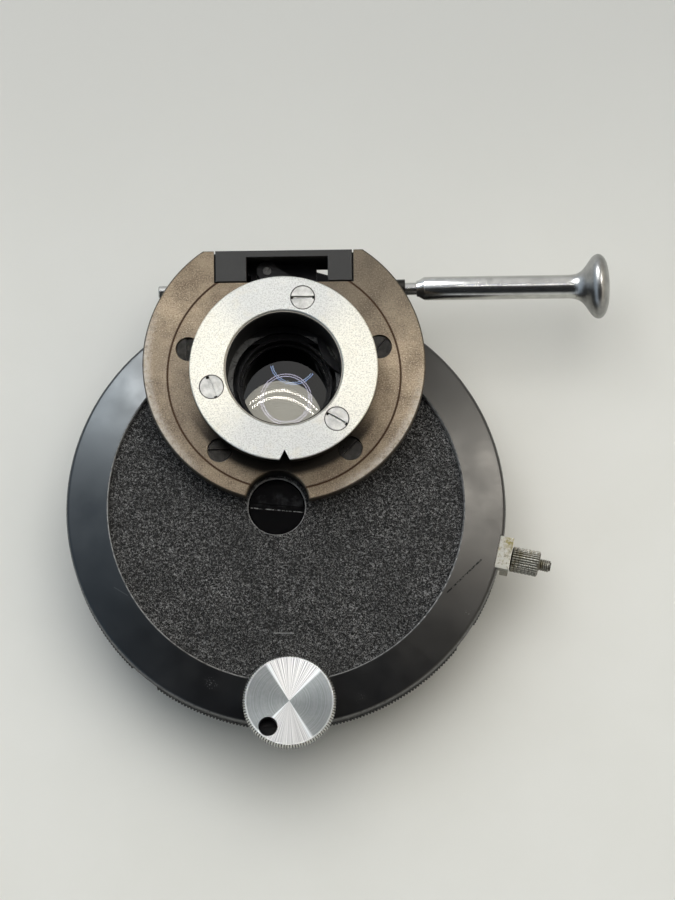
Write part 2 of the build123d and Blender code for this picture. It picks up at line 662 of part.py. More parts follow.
def station_centre(angle):
    """Centre of a station of the wheel."""
    x, y = polar(station_radius, angle)
    return x, wheel_y + y


lens_at, clear_at, wedge_at, filter_at = [station_centre(angle) for angle in (90, 180, 270, 0)]

for name, centre in (("lens_cell", lens_at), ("clear_cell", clear_at), ("wedge_cell", wedge_at),
                     ("filter_cell", filter_at)):
    with BuildPart() as cell:
        add(station_cell(centre))
    keep(name, cell)

lens_edge, lens_rise = 15.9, 1.4
middle_radius, middle_height = dome(glass_radius, lens_rise)
with BuildPart() as station_lens:
    with BuildSketch(Plane.XZ.offset(-lens_at[1])):
        with BuildLine():
            Polyline((0, lens_edge + lens_rise), (0, 14.95), (glass_radius, 14.95), (glass_radius, lens_edge))
            ThreePointArc((glass_radius, lens_edge), (middle_radius, lens_edge + middle_height),
                          (0, lens_edge + lens_rise))
        make_face()
    revolve(axis=Axis.Z)
keep("station_lens", station_lens)
keep("lens_retainer", retaining_ring(10.9, 10.3, 16.3, 0.9, lens_at))

with BuildPart() as wedge_prism:
    add(pipe(glass_radius, 0.0, 14.95, 17.6, wedge_at))
    with BuildSketch(Plane.YZ.offset(-12)):
        with BuildLine():
            Polyline((wedge_at[1] - 12, 17.6), (wedge_at[1] + 12, 16.6), (wedge_at[1] + 12, 18),
                     (wedge_at[1] - 12, 18), close=True)
        make_face()
    extrude(amount=24, mode=Mode.SUBTRACT)
keep("wedge_prism", wedge_prism)
keep("wedge_retainer", retaining_ring(10.9, 9.8, 17.62, 0.9, wedge_at))

with BuildPart() as colour_filter:
    add(pipe(glass_radius, 0.0, 14.95, 16.95, filter_at))
keep("colour_filter", colour_filter)
keep("filter_retainer", retaining_ring(10.9, 9.8, 16.95, 0.9, filter_at))

# ---------------------------------------------------------------- drive knob
knob_bottom, knob_top = 25.8, 29.9
knob_radius = 11.15
with BuildPart() as drive_knob:
    add(turned([(0, knob_bottom), (knob_radius, knob_bottom), (knob_radius, knob_top - 0.5),
                (knob_radius - 0.5, knob_top), (0, knob_top)], (knob_x, knob_y)))
    add(pipe(2.0, 0.0, 20, knob_top - 1.1, (knob_x, knob_y)), mode=Mode.SUBTRACT)
    hole = polar(7.9, 230)
    add(pipe(2.3, 0.0, 20, 35, (knob_x + hole[0], knob_y + hole[1])), mode=Mode.SUBTRACT)
    add(rod_between(0.8, (knob_x, knob_y, 27.6), (knob_x - 20, knob_y, 27.6)), mode=Mode.SUBTRACT)
keep("drive_knob", drive_knob)

with BuildPart() as knob_set_screw:
    add(rod_between(0.8, (knob_x - 2.0, knob_y, 27.6), (knob_x - 6.0, knob_y, 27.6)))
keep("knob_set_screw", knob_set_screw)

with BuildPart() as pinion_shaft:
    add(pipe(2.0, 0.0, 19.25, knob_top - 1.2, (knob_x, knob_y)))
    gap_towards_gear = knob_angle + 180 + 180 / pinion_teeth
    with BuildSketch(Plane((knob_x, knob_y, 19.25))):
        with BuildLine():
            Polyline(*tooth_points(pinion_teeth, gear_module, 0.7, 1.0, 0.40, gap_towards_gear), close=True)
        make_face()
    extrude(amount=gear_width)
keep("pinion_shaft", pinion_shaft)

with BuildPart() as knob_bearing:
    add(turned([(2.0 + fit, 20.85), (4.0, 20.85), (4.0, boss_top), (9.6, boss_top), (9.6, 25.3),
                (9.3, 25.6), (2.0 + fit, 25.6)], (knob_x, knob_y)))
    for angle in bearing_screw_angles:
        x, y = polar(bearing_screw_radius, angle)
        hole = countersunk_hole(1.9, 1.0, 25.55, 0.8, 20)
        add(hole.moved(Location((knob_x + x, knob_y + y, 0))), mode=Mode.SUBTRACT)
keep("knob_bearing", knob_bearing)

with BuildPart() as knob_bearing_screws:
    for angle in bearing_screw_angles:
        x, y = polar(bearing_screw_radius, angle)
        screw = slotted_screw(1.9, 1.0, 25.55, 0.8, 21.8, 3)
        add(screw.moved(Location((knob_x + x, knob_y + y, 0))))
keep("knob_bearing_screws", knob_bearing_screws)

# ---------------------------------------------------------------- push-pull rod
rod_left = -30.4
with BuildPart() as slide_rod:
    add(rod_between(rod_radius, (rod_left, rod_y, rod_z), (handle_x0 + 4, rod_y, rod_z)))
    chamfer(slide_rod.edges().group_by(Axis.X)[0], 0.25)
    pitch = pi * rack_module
    rack_top = rack_y + 0.9 * rack_module
    gaps = range(-4, 5)
    with BuildSketch(at(rod_z - 2)):
        with Locations((pivot_x, rack_top + 1)):
            Rectangle(9.4 * pitch, 2)
        for number in gaps:
            with BuildLine():
                half_top = 0.29 * pitch + 0.9 * rack_module * tan(radians(20))
                half_root = 0.29 * pitch - 1.2 * rack_module * tan(radians(20))
                x = pivot_x + number * pitch
                Polyline((x - half_top, rack_top), (x - half_root, rack_y - 1.2 * rack_module),
                         (x + half_root, rack_y - 1.2 * rack_module), (x + half_top, rack_top), close=True)
            make_face()
    extrude(amount=4, mode=Mode.SUBTRACT)
    with BuildSketch(at(rod_z - 2)):
        with Locations((guide_x + rod_travel / 2, rod_y)):
            SlotOverall(rod_travel + 2.3, 2.1)
    extrude(amount=1.5, mode=Mode.SUBTRACT)
keep("slide_rod", slide_rod)

lip_x, lip_radius = 76.3, 7.1
end_radius, end_height = dome(lip_radius, handle_x1 - lip_x)
with BuildPart() as rod_handle:
    with BuildSketch(Plane((0, rod_y, rod_z), x_dir=(1, 0, 0), z_dir=(0, -1, 0))):
        with BuildLine():
            Polyline((handle_x0, 0), (handle_x0, 2.1), (handle_x0 + 1.5, 3.15), (69.4, 3.15))
            TangentArc((69.4, 3.15), (74.1, 6.8), tangent=(1, 0))
            ThreePointArc((74.1, 6.8), (75.2, 7.75), (lip_x, lip_radius))
            ThreePointArc((lip_x, lip_radius), (lip_x + end_height, end_radius), (handle_x1, 0))
            Line((handle_x1, 0), (handle_x0, 0))
        make_face()
    revolve(axis=Axis((0, rod_y, rod_z), (1, 0, 0)))
    add(rod_between(rod_radius, (20, rod_y, rod_z), (handle_x0 + 4, rod_y, rod_z)), mode=Mode.SUBTRACT)
keep("rod_handle", rod_handle)

# ---------------------------------------------------------------- swing arm
arm_bottom, arm_top = 22.2, 24.4
with BuildPart() as swing_arm:
    with BuildSketch(at(arm_bottom)):
        with Locations((cell_x, cell_y)):
            Circle(10.2)
        with Locations((pivot_x, pivot_y)):
            Circle(2.5)
        with BuildLine():
            across = Vector(0, 2.0).rotate(Axis.Z, arm_rest)
            wide = Vector(0, 3.4).rotate(Axis.Z, arm_rest)
            far = Vector(arm_length - 8, 0).rotate(Axis.Z, arm_rest)
            pivot = Vector(pivot_x, pivot_y)
            Polyline(pivot + across, pivot + far + wide, pivot + far - wide, pivot - across, close=True)
        make_face()
        with Locations((cell_x, cell_y)):
            Circle(8.4, mode=Mode.SUBTRACT)
    extrude(amount=arm_top - arm_bottom)
    add(pipe(9.2, 0.0, 22.7, 26, (cell_x, cell_y)), mode=Mode.SUBTRACT)
    add(pipe(0.73, 0.0, 20, 26, (pivot_x, pivot_y)), mode=Mode.SUBTRACT)
    add(pipe(1.02, 0.0, 23.85, 26, (pivot_x, pivot_y)), mode=Mode.SUBTRACT)
keep("swing_arm", swing_arm)

with BuildPart() as arm_sector:
    with BuildSketch(Plane((pivot_x, pivot_y, 19.35))):
        Circle(sector_radius - 0.62)
        sector = tooth_points(sector_teeth, rack_module, 0.85, 1.3, 0.43, -90, range(-1, 4))
        with BuildLine():
            Polyline((0, 0), *sector, close=True)
        make_face()
        Circle(0.73, mode=Mode.SUBTRACT)
    extrude(amount=arm_bottom - 19.35)
keep("arm_sector", arm_sector)

with BuildPart() as arm_pivot_screw:
    add(turned([(0, 15.6), (0.7, 15.6), (0.7, 23.9), (0.98, 23.9), (0.98, 24.4), (0, 24.4)],
               (pivot_x, pivot_y)))
    with BuildSketch(Plane((pivot_x, pivot_y, 24.4))):
        Rectangle(3, 0.3, rotation=45)
    extrude(amount=-0.3, mode=Mode.SUBTRACT)
keep("arm_pivot_screw", arm_pivot_screw)

with BuildPart() as swing_prism:
    add(pipe(9.15, 0.0, 22.7, 23.9, (cell_x, cell_y)))
keep("swing_prism", swing_prism)
keep("swing_retainer", retaining_ring(9.2, 8.3, 23.9, 0.48, (cell_x, cell_y)))

# ---------------------------------------------------------------- lock screw
lock_z = 16.7
lock_radial = polar(1, lock_angle)


def on_lock(radius, height=lock_z):
    """Point on the lock screw's line, at a radius from the axle."""
    return radius * lock_radial[0], wheel_y + radius * lock_radial[1], height


with BuildPart() as lock_block:
    with BuildSketch(lock_plane.offset(0.2)):
        with Locations(((53.15 + 55.2) / 2, 0)):
            Rectangle(55.2 - 53.15, 7.9)
    extrude(amount=22.5 - 14.2)
    with BuildSketch(lock_plane.offset(5.35)):
        with Locations(((51.75 + 54.0) / 2, 0)):
            Rectangle(54.0 - 51.75, 7.9)
    extrude(amount=22.5 - 19.35)
    add(rod_between(m3 + 0.05, on_lock(50), on_lock(60)), mode=Mode.SUBTRACT)
    for side in (-2.6, 2.6):
        bolt = rod_between(0.6, (50.3, side, 20.9), (60, side, 20.9))
        head = rod_between(1.3, (54.4, side, 20.9), (60, side, 20.9))
        for tool in (bolt, head):
            add(tool.rotate(Axis.Z, lock_angle).moved(Location((0, wheel_y, 0))), mode=Mode.SUBTRACT)
keep("lock_block", lock_block)

with BuildPart() as lock_block_screws:
    for side in (-2.6, 2.6):
        bolt = rod_between(0.6, (51.76, side, 20.9), (54.5, side, 20.9))
        head = rod_between(1.25, (54.4, side, 20.9), (55.1, side, 20.9))
        for piece in (bolt, head):
            add(piece.rotate(Axis.Z, lock_angle).moved(Location((0, wheel_y, 0))))
keep("lock_block_screws", lock_block_screws)

with BuildPart() as lock_pad:
    add(rod_between(1.4, on_lock(52.86), on_lock(53.6)))
keep("lock_pad", lock_pad)

with BuildPart() as lock_stud:
    add(rod_between(m3 - 0.02, on_lock(53.62), on_lock(65.0)))
    slot_plane = Plane(on_lock(65.0), x_dir=(0, 0, 1), z_dir=lock_radial + (0,))
    with BuildSketch(slot_plane):
        Rectangle(4, 0.5)
    extrude(amount=-0.7, mode=Mode.SUBTRACT)
keep("lock_stud", lock_stud)

with BuildPart() as lock_nut:
    add(rod_between(2.85, on_lock(55.25), on_lock(62.2)))
    add(rod_between(m3 - 0.02, on_lock(50), on_lock(70)), mode=Mode.SUBTRACT)
keep("lock_nut", lock_nut)

# ---------------------------------------------------------------- written out
os.makedirs("parts", exist_ok=True)
for name, part in pieces.items():
    export_step(part, f"parts/{name}.step")
print(len(pieces), "pieces; knob at", round(knob_x, 3), round(knob_y, 3),
      "; parked cell at", round(cell_x, 3), round(cell_y, 3), "; rod travel", round(rod_travel, 4))
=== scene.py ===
"""Looks of the optical turret attachment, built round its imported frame.  Metres, in the frame's own axes:
the light path runs up Z through the origin, the turret's axle stands towards -Y, the rod runs along X."""

import json
from math import cos, hypot, pi, radians, sin, sqrt

import bmesh
import bpy
import mathutils
import numpy as np
from mathutils import Matrix, Quaternion, Vector

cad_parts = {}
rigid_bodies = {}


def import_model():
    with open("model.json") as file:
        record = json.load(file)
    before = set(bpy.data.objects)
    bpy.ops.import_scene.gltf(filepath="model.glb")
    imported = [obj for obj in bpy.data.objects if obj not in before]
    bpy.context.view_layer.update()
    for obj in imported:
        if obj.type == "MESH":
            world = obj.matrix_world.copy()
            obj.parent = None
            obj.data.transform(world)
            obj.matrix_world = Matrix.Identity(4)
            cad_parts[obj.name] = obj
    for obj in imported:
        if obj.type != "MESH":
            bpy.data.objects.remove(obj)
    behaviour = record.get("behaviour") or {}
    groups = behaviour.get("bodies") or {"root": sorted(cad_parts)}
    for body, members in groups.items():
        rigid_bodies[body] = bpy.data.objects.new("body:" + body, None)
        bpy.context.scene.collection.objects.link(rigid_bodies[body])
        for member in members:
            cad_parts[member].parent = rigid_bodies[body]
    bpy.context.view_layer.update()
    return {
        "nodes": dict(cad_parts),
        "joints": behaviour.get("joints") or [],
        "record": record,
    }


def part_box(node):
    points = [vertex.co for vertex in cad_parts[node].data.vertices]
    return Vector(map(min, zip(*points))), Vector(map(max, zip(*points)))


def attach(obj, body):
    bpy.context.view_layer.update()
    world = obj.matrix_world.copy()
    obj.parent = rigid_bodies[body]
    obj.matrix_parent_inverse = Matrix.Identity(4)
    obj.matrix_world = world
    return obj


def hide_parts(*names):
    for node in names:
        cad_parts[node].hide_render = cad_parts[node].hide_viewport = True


MM = 0.001
CAMERA_TILT = 12.4  # degrees off straight down
RING_SCREW_ANGLES = (74.6, 194.6, 314.6)
RING_SCREW_RADIUS = 17.8 * MM
LOCK_HEIGHT = 16.7 * MM  # of the lock screw's line above the table
KNOB_TEETH = 104
LENS_DOME_RADIUS = 42.7  # in millimetres
LENS_CURVE = 0.3  # share of the dome's tilt that its coating mirrors with
SHARP_CORNERS = radians(35)  # edges that turn by more than this are broken
GRAIN_STEP = 0.34 * MM
GRIP_END, FLARE_END = 69 * MM, 73 * MM  # along X, where the handle's polish changes
LAMP_DISTANCE = 1.5

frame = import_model()
nodes = frame["nodes"]
joints = {joint["name"]: joint for joint in frame["joints"]}

# places read from the frame
axle = Vector(joints["turret_turn"]["pos_m"])
knob_axis = Vector(joints["knob_turn"]["pos_m"])
lock_way = Vector(joints["lock_turn"]["axis"])
plate_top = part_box("dovetail_plate")[1].z
SIGHT = Vector((0, -sin(radians(CAMERA_TILT)), cos(radians(CAMERA_TILT))))  # towards the camera
rim_low, rim_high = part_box("turret_rim")
knob_low, knob_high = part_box("drive_knob")
corner_stain = axle + 54.4 * MM * lock_way + 2.8 * MM * Vector((-lock_way.y, lock_way.x, 0))


# ---------------------------------------------------------------- view, light and floor
def add_camera():
    """Long lens, 12.4 degrees off straight down, turned a little about its own line of sight."""
    roll, distance = radians(-0.8), 1.0755
    target = Vector((12.56 * MM, -18.58 * MM, plate_top))
    data = bpy.data.cameras.new("camera")
    data.lens, data.sensor_width, data.clip_end = 180, 36, 20
    camera = bpy.data.objects.new("camera", data)
    camera.rotation_mode = "QUATERNION"
    camera.rotation_quaternion = SIGHT.to_track_quat("Z", "Y") @ Quaternion((0, 0, 1), roll)
    camera.location = target + distance * SIGHT
    bpy.context.scene.collection.objects.link(camera)
    bpy.context.scene.camera = camera


def add_area_light(name, centre, aim, width, height, power, colour=(1, 1, 1)):
    """Rectangular lamp that faces a point, unseen by the camera itself."""
    data = bpy.data.lights.new(name, "AREA")
    data.shape, data.size, data.size_y = "RECTANGLE", width, height
    data.energy, data.color = power, colour
    lamp = bpy.data.objects.new(name, data)
    lamp.location = centre
    lamp.rotation_mode = "QUATERNION"
    lamp.rotation_quaternion = (Vector(centre) - Vector(aim)).to_track_quat("Z", "Y")
    lamp.visible_camera = False
    bpy.context.scene.collection.objects.link(lamp)
    return lamp


def add_world():
    """Pale room with a dark patch overhead towards -Y, cool on the left and warm on the right."""
    world = bpy.data.worlds.new("room")
    bpy.context.scene.world = world
    world.use_nodes = True
    tree = world.node_tree
    tree.nodes.clear()
    way = add_node(tree, "ShaderNodeTexCoord").outputs["Generated"]
    dark_way = Vector((0, -sin(radians(34)), cos(radians(34))))
    near = vector_calc(tree, "DOT_PRODUCT", way, tuple(dark_way))
    shade = smooth(tree, near, cos(radians(46)), cos(radians(30)))
    tint = ramp(tree, part_of(tree, way, 0), [(0.0, (0.62, 0.74, 0.88)), (0.5, (0.80, 0.80, 0.79)),
                                           (1.0, (0.95, 0.88, 0.76))], low=-0.8, high=0.8)
    room = mix(tree, shade, tint, (0.014, 0.016, 0.018))
    back = add_node(tree, "ShaderNodeBackground", {"Color": room, "Strength": 0.84})
    out = add_node(tree, "ShaderNodeOutputWorld")
    tree.links.new(back.outputs[0], out.inputs[0])


def lens_reflection(x, y):
    """Direction that the lens's coating mirrors towards the camera at a place on it, in millimetres."""
    dome_radius = LENS_DOME_RADIUS / LENS_CURVE
    normal = Vector((x, y, sqrt(dome_radius ** 2 - x * x - y * y))) / dome_radius
    return 2 * normal.dot(SIGHT) * normal - SIGHT


def add_lamp_tubes():
    """Ring lamps and rows of small lamps above the table, which the lens mirrors as circles and bands."""
    rings = [((-0.55, -2.35), 6.8, 0, 360, (0.85, 0.8, 1.0)), ((-0.55, -2.35), 6.2, 0, 360, (0.8, 0.78, 1.0)),
             ((1.5, 7.7), 6.1, 188, 330, (0.45, 0.6, 1.0)), ((1.5, 7.7), 5.6, 188, 326, (0.55, 0.7, 1.0))]
    for centre, radius, first, last, colour in rings:
        path = [lens_reflection(centre[0] + radius * cos(radians(a)), centre[1] + radius * sin(radians(a)))
                for a in np.linspace(first, last, 73)]
        add_strips("ring_lamp", list(zip(path, path[1:])), 0.005, colour, 7)
    rows = [((-10.1, -3.2), (-7.0, -1.1), (-2.6, -0.2), (2.2, -1.0), (5.3, -2.9), (8.3, -5.8)),
            ((-9.6, -4.4), (-7.0, -2.9), (-2.6, -2.0), (1.8, -2.7), (4.6, -4.8), (7.3, -6.7))]
    for row in rows:
        xs, ys = zip(*row)
        curve = np.polyfit(xs, ys, 3)
        dashes = []
        for x in np.linspace(xs[0], xs[-1], 27):
            y = float(np.polyval(curve, x))
            dashes.append((lens_reflection(x, y - 0.36), lens_reflection(x, y + 0.36)))
        add_strips("lamp_row", dashes, 0.0044, (1.0, 0.95, 0.85), 40)


def add_strips(name, spans, width, colour, strength):
    """Glowing strips across the directions of each span."""
    vertices, faces = [], []
    for first, last in spans:
        side = first.cross(last).normalized() * width / 2
        near, far = first * LAMP_DISTANCE, last * LAMP_DISTANCE
        vertices += [near - side, far - side, far + side, near + side]
        faces.append(range(len(vertices) - 4, len(vertices)))
    lamp = mesh_object(name, vertices, faces)
    glow = finish(name, (0, 0, 0), 0.5, Emission_Color=colour, Emission_Strength=strength)
    glow.cycles.emission_sampling = "NONE"
    lamp.data.materials.append(glow)
    lamp.visible_camera = lamp.visible_diffuse = lamp.visible_shadow = False


def add_floor():
    """Pale table top."""
    bpy.ops.mesh.primitive_plane_add(size=6, location=(0, 0, -0.0002))
    floor = bpy.context.object
    floor.name = "table"
    floor.data.materials.append(table_finish())


# ---------------------------------------------------------------- node helpers
def add_node(tree, kind, inputs=None, **settings):
    """Adds a node with settings, and with inputs that are values or the outputs of other nodes."""
    made = tree.nodes.new(kind)
    for key, value in settings.items():
        setattr(made, key, value)
    for key, value in (inputs or {}).items():
        put(tree, made.inputs[key], value)
    return made


def put(tree, socket, value):
    """Links an output to an input, or sets the input's own value."""
    if isinstance(value, bpy.types.NodeSocket):
        tree.links.new(value, socket)
    elif hasattr(socket.default_value, "__len__") and len(socket.default_value) == 4:
        socket.default_value = (*value[:3], 1.0)
    else:
        socket.default_value = value


def ramp(tree, value, stops, low=None, high=None):
    """Colour ramp over a value, which is first brought from low..high to 0..1."""
    if low is not None:
        value = add_node(tree, "ShaderNodeMapRange", {0: value, 1: low, 2: high}).outputs[0]
    made = add_node(tree, "ShaderNodeValToRGB", {"Fac": value})
    while len(made.color_ramp.elements) < len(stops):
        made.color_ramp.elements.new(1.0)
    for element, (place, colour) in zip(made.color_ramp.elements, stops):
        element.position, element.color = place, (*colour[:3], 1.0)
    return made.outputs["Color"]


def calc(tree, operation, *values, clamp=False):
    """Math node on one to three values."""
    made = add_node(tree, "ShaderNodeMath", operation=operation, use_clamp=clamp)
    for socket, value in zip(made.inputs, values):
        put(tree, socket, value)
    return made.outputs[0]


def mix(tree, factor, first, second):
    """Mixes two colours."""
    return add_node(tree, "ShaderNodeMix", {0: factor, 6: first, 7: second}, data_type="RGBA").outputs[2]


def smooth(tree, value, start, end):
    """0 before start, 1 after end, smooth between; start may be above end."""
    made = add_node(tree, "ShaderNodeMapRange", {0: value, 1: start, 2: end}, interpolation_type="SMOOTHSTEP")
    return made.outputs[0]


def row_place(tree):
    """Position in the row frame, which stays with a piece as it moves."""
    return add_node(tree, "ShaderNodeTexCoord").outputs["Object"]


def part_of(tree, vector, axis):
    """One part of a vector: 0 for X, 1 for Y, 2 for Z."""
    return add_node(tree, "ShaderNodeSeparateXYZ", {0: vector}).outputs[axis]


def vector_calc(tree, operation, *values, **more):
    """Vector Math node; LENGTH and DOT_PRODUCT give a number, the others a vector."""
    made = add_node(tree, "ShaderNodeVectorMath", {**dict(enumerate(values)), **more}, operation=operation)
    return made.outputs["Value" if operation in ("LENGTH", "DOT_PRODUCT") else "Vector"]


def between(tree, value, start, end, first, last):
    """A number that goes evenly from first to last while a value goes from start to end."""
    return add_node(tree, "ShaderNodeMapRange", {0: value, 1: start, 2: end, 3: first, 4: last}).outputs[0]


def turned(tree, value, scale, detail=3.0):
    """Noise along one value, as fine lines left by turning."""
    return add_node(tree, "ShaderNodeTexNoise", {"W": calc(tree, "MULTIPLY", value, scale), "Scale": 1.0,
                                                 "Detail": detail}, noise_dimensions="1D").outputs["Fac"]


def noise(tree, place, per_mm, detail=3.0, rough=0.55, distortion=0.0):
    """Noise value with a number of blobs per millimetre."""
    made = add_node(tree, "ShaderNodeTexNoise", {"Vector": place, "Scale": per_mm / MM, "Detail": detail,
                                                 "Roughness": rough, "Distortion": distortion})
    return made.outputs["Fac"]


def away_from(tree, place, centre):
    """Distance from a vertical line, and the offset from it."""
    flat = vector_calc(tree, "MULTIPLY", vector_calc(tree, "SUBTRACT", place, tuple(centre)), (1, 1, 0))
    return vector_calc(tree, "LENGTH", flat), flat


def near_segment(tree, place, start, end, width):
    """1 on the flat line between two points, 0 outside its width."""
    start, end = Vector(start), Vector(end)
    way = end - start
    flat = vector_calc(tree, "MULTIPLY", vector_calc(tree, "SUBTRACT", place, tuple(start)), (1, 1, 0))
    along = vector_calc(tree, "DOT_PRODUCT", flat, tuple(way / way.length_squared))
    share = calc(tree, "ADD", along, 0.0, clamp=True)
    foot = vector_calc(tree, "SCALE", tuple(way), Scale=share)
    off = vector_calc(tree, "LENGTH", vector_calc(tree, "SUBTRACT", flat, foot))
    return smooth(tree, off, width, width * 0.3)


def speckle(per_mm, detail):
    """Pattern for a bump: plain noise all over the piece."""
    return lambda tree: noise(tree, row_place(tree), per_mm, detail)


def finish(name, colour, roughness, metallic=0.0, bump=None, bump_mm=0.02, **more):
    """Principled material; colour, roughness and metallic may be outputs of nodes made by build(tree)."""
    material = bpy.data.materials.new(name)
    material.use_nodes = True
    tree = material.node_tree
    tree.nodes.clear()
    shader = tree.nodes.new("ShaderNodeBsdfPrincipled")
    out = tree.nodes.new("ShaderNodeOutputMaterial")
    tree.links.new(shader.outputs[0], out.inputs["Surface"])
    for key, value in (("Base Color", colour), ("Roughness", roughness), ("Metallic", metallic)):
        put(tree, shader.inputs[key], value(tree) if callable(value) else value)
    if bump:
        height = bump(tree)
        made = add_node(tree, "ShaderNodeBump", {"Height": height, "Distance": bump_mm * MM, "Strength": 1.0})
        tree.links.new(made.outputs["Normal"], shader.inputs["Normal"])
    for key, value in more.items():
        label = key.replace("_", " ")
        put(tree, shader.inputs[label], value(tree) if callable(value) else value)
    return material


# ---------------------------------------------------------------- pieces in mesh code
def mesh_object(name, vertices, faces, place=None):
    """Mesh object, with its vertices moved by a matrix if there is one."""
    mesh = bpy.data.meshes.new(name)
    mesh.from_pydata([tuple(v) for v in vertices], [], [tuple(int(i) for i in f) for f in faces])
    if place:
        mesh.transform(place)
    mesh.validate()
    made = bpy.data.objects.new(name, mesh)
    bpy.context.scene.collection.objects.link(made)
    return made


def loft(name, rings, closed=False, place=None):
    """Surface through rings of equally many points; open lofts get flat ends."""
    rings = np.asarray(rings, dtype=float)
    count, around = rings.shape[:2]
    index = np.arange(count * around).reshape(count, around)
    ahead = np.roll(index, -1, axis=1)
    faces = []
    for low in range(count if closed else count - 1):
        high = (low + 1) % count
        faces += [(index[low, k], ahead[low, k], ahead[high, k], index[high, k]) for k in range(around)]
    if not closed:
        faces += [tuple(index[0][::-1]), tuple(index[-1])]
    return mesh_object(name, rings.reshape(-1, 3), faces, place)


def ring_of(radii, angles, height):
    """Ring of points at a radius for each angle."""
    return np.stack([radii * np.cos(angles), radii * np.sin(angles), np.full_like(angles, height)], axis=1)


def carve(body, tools):
    """Cuts tools out of a body."""
    for tool in tools:
        cut = body.modifiers.new("cut", "BOOLEAN")
        cut.operation, cut.object, cut.solver = "DIFFERENCE", tool, "EXACT"
        bpy.context.view_layer.update()
        shape = bpy.data.meshes.new_from_object(body.evaluated_get(bpy.context.evaluated_depsgraph_get()))
        body.modifiers.clear()
        body.data = shape
        bpy.data.objects.remove(tool)


def peg(radius, start, end, sides=48):
    """Round bar between two points, used to cut holes."""
    start, end = Vector(start), Vector(end)
    turn = (end - start).to_track_quat("Z", "Y").to_matrix().to_4x4()
    turn.translation = start
    angles = np.linspace(0, 2 * pi, sides, endpoint=False)
    length = (end - start).length
    radii = np.full(sides, radius)
    return loft("peg", [ring_of(radii, angles, 0.0), ring_of(radii, angles, length)], place=turn)


def tooth_wave(angles, teeth, sharp=0.75):
    """0 at the roots and 1 at the crests of a knurl."""
    phase = np.abs(((angles * teeth / (2 * pi)) % 1.0) * 2 - 1)
    return np.clip(phase / sharp, 0, 1)


def knurled_rim():
    """Knurled wheel rim with its four flats, screw holes and click notches."""
    low, high, outer = rim_low.z, rim_high.z, (rim_high.x - rim_low.x) / 2
    teeth = 396
    angles = np.linspace(0, 2 * pi, teeth * 6, endpoint=False)
    knurl = outer - 0.42 * MM * (1 - tooth_wave(angles, teeth))
    plain = np.full_like(angles, outer - 0.5 * MM)
    inner = np.full_like(angles, 46.5 * MM)
    flat_at = [radians(a) for a in (-35.9, -131.0, 144.1, 49.0)]
    for middle in flat_at:
        off = (angles - middle + pi) % (2 * pi) - pi
        reach = 52.1 * MM / np.maximum(np.cos(off), 0.5)
        on_flat = np.abs(np.tan(off)) * 52.1 * MM < 3.7 * MM
        knurl = np.where(on_flat, np.minimum(knurl, reach), knurl)
        plain = np.where(on_flat, np.minimum(plain, reach - 0.05 * MM), plain)
    outline = ((inner, low), (plain, low), (knurl, low + 0.4 * MM), (knurl, high - 0.4 * MM), (plain, high),
               (inner, high))
    rings = [ring_of(radii, angles, height) for radii, height in outline]
    rim = loft("knurled_rim", rings, closed=True, place=Matrix.Translation((axle.x, axle.y, 0)))
    tools = []
    for middle in flat_at:
        way = Vector((cos(middle), sin(middle), 0))
        foot = Vector((axle.x, axle.y, 16.6 * MM))
        tools.append(peg(1.2 * MM, foot + way * 50.5 * MM, foot + way * 54 * MM, 32))
    notch = ((53.4, -1.7), (53.4, 1.7), (51.9, 0.0))
    for turn in range(4):
        corners = [(x * MM, y * MM, z * MM) for z in (13.2, 17.4) for x, y in notch]
        place = Matrix.Translation((axle.x, axle.y, 0)) @ Matrix.Rotation(turn * pi / 2, 4, "Z")
        tools.append(mesh_object("click_notch", corners, [(2, 1, 0), (3, 4, 5), (0, 1, 4, 3), (1, 2, 5, 4),
                                                          (2, 0, 3, 5)], place))
    carve(rim, tools)
    return rim


def knurled_knob():
    """Drive knob: flat turned face, knurled edge, and a hole that goes right through."""
    low, high = knob_low.z, knob_high.z
    outer = (knob_high.x - knob_low.x) / 2
    angles = np.linspace(0, 2 * pi, KNOB_TEETH * 8, endpoint=False)
    knurl = outer - 0.46 * MM * (1 - tooth_wave(angles, KNOB_TEETH, 0.8))
    profile = [(10.4 * MM, 0.0, low), (outer - 0.35 * MM, 0.25, low + 0.35 * MM),
               (outer, 1.0, low + 0.8 * MM), (outer, 1.0, high - 0.62 * MM),
               (outer - 0.22 * MM, 0.8, high - 0.32 * MM), (outer - 0.5 * MM, 0.5, high - 0.10 * MM),
               (outer - 0.66 * MM, 0.0, high)]
    rings = [ring_of(radius - (outer - knurl) * share, angles, height)
             for radius, share, height in profile]
    for radius in (9.0, 7.0, 5.0, 3.0, 1.2):
        rings.append(ring_of(np.full_like(angles, radius * MM), angles, high))
    centre = Vector((knob_axis.x, knob_axis.y, 0))
    knob = loft("knurled_knob", rings, place=Matrix.Translation(centre))
    spot = centre + 7.9 * MM * Vector((cos(radians(230)), sin(radians(230)), 0))
    carve(knob, [peg(2.3 * MM, spot + Vector((0, 0, low - MM)), spot + Vector((0, 0, high + MM)), 64)])
    return knob


def lock_frame():
    """Matrix that stands a turned shape on the lock screw's line, from the axle outwards."""
    turn = lock_way.to_track_quat("Z", "Y").to_matrix().to_4x4()
    turn.translation = (axle.x, axle.y, LOCK_HEIGHT)
    return turn


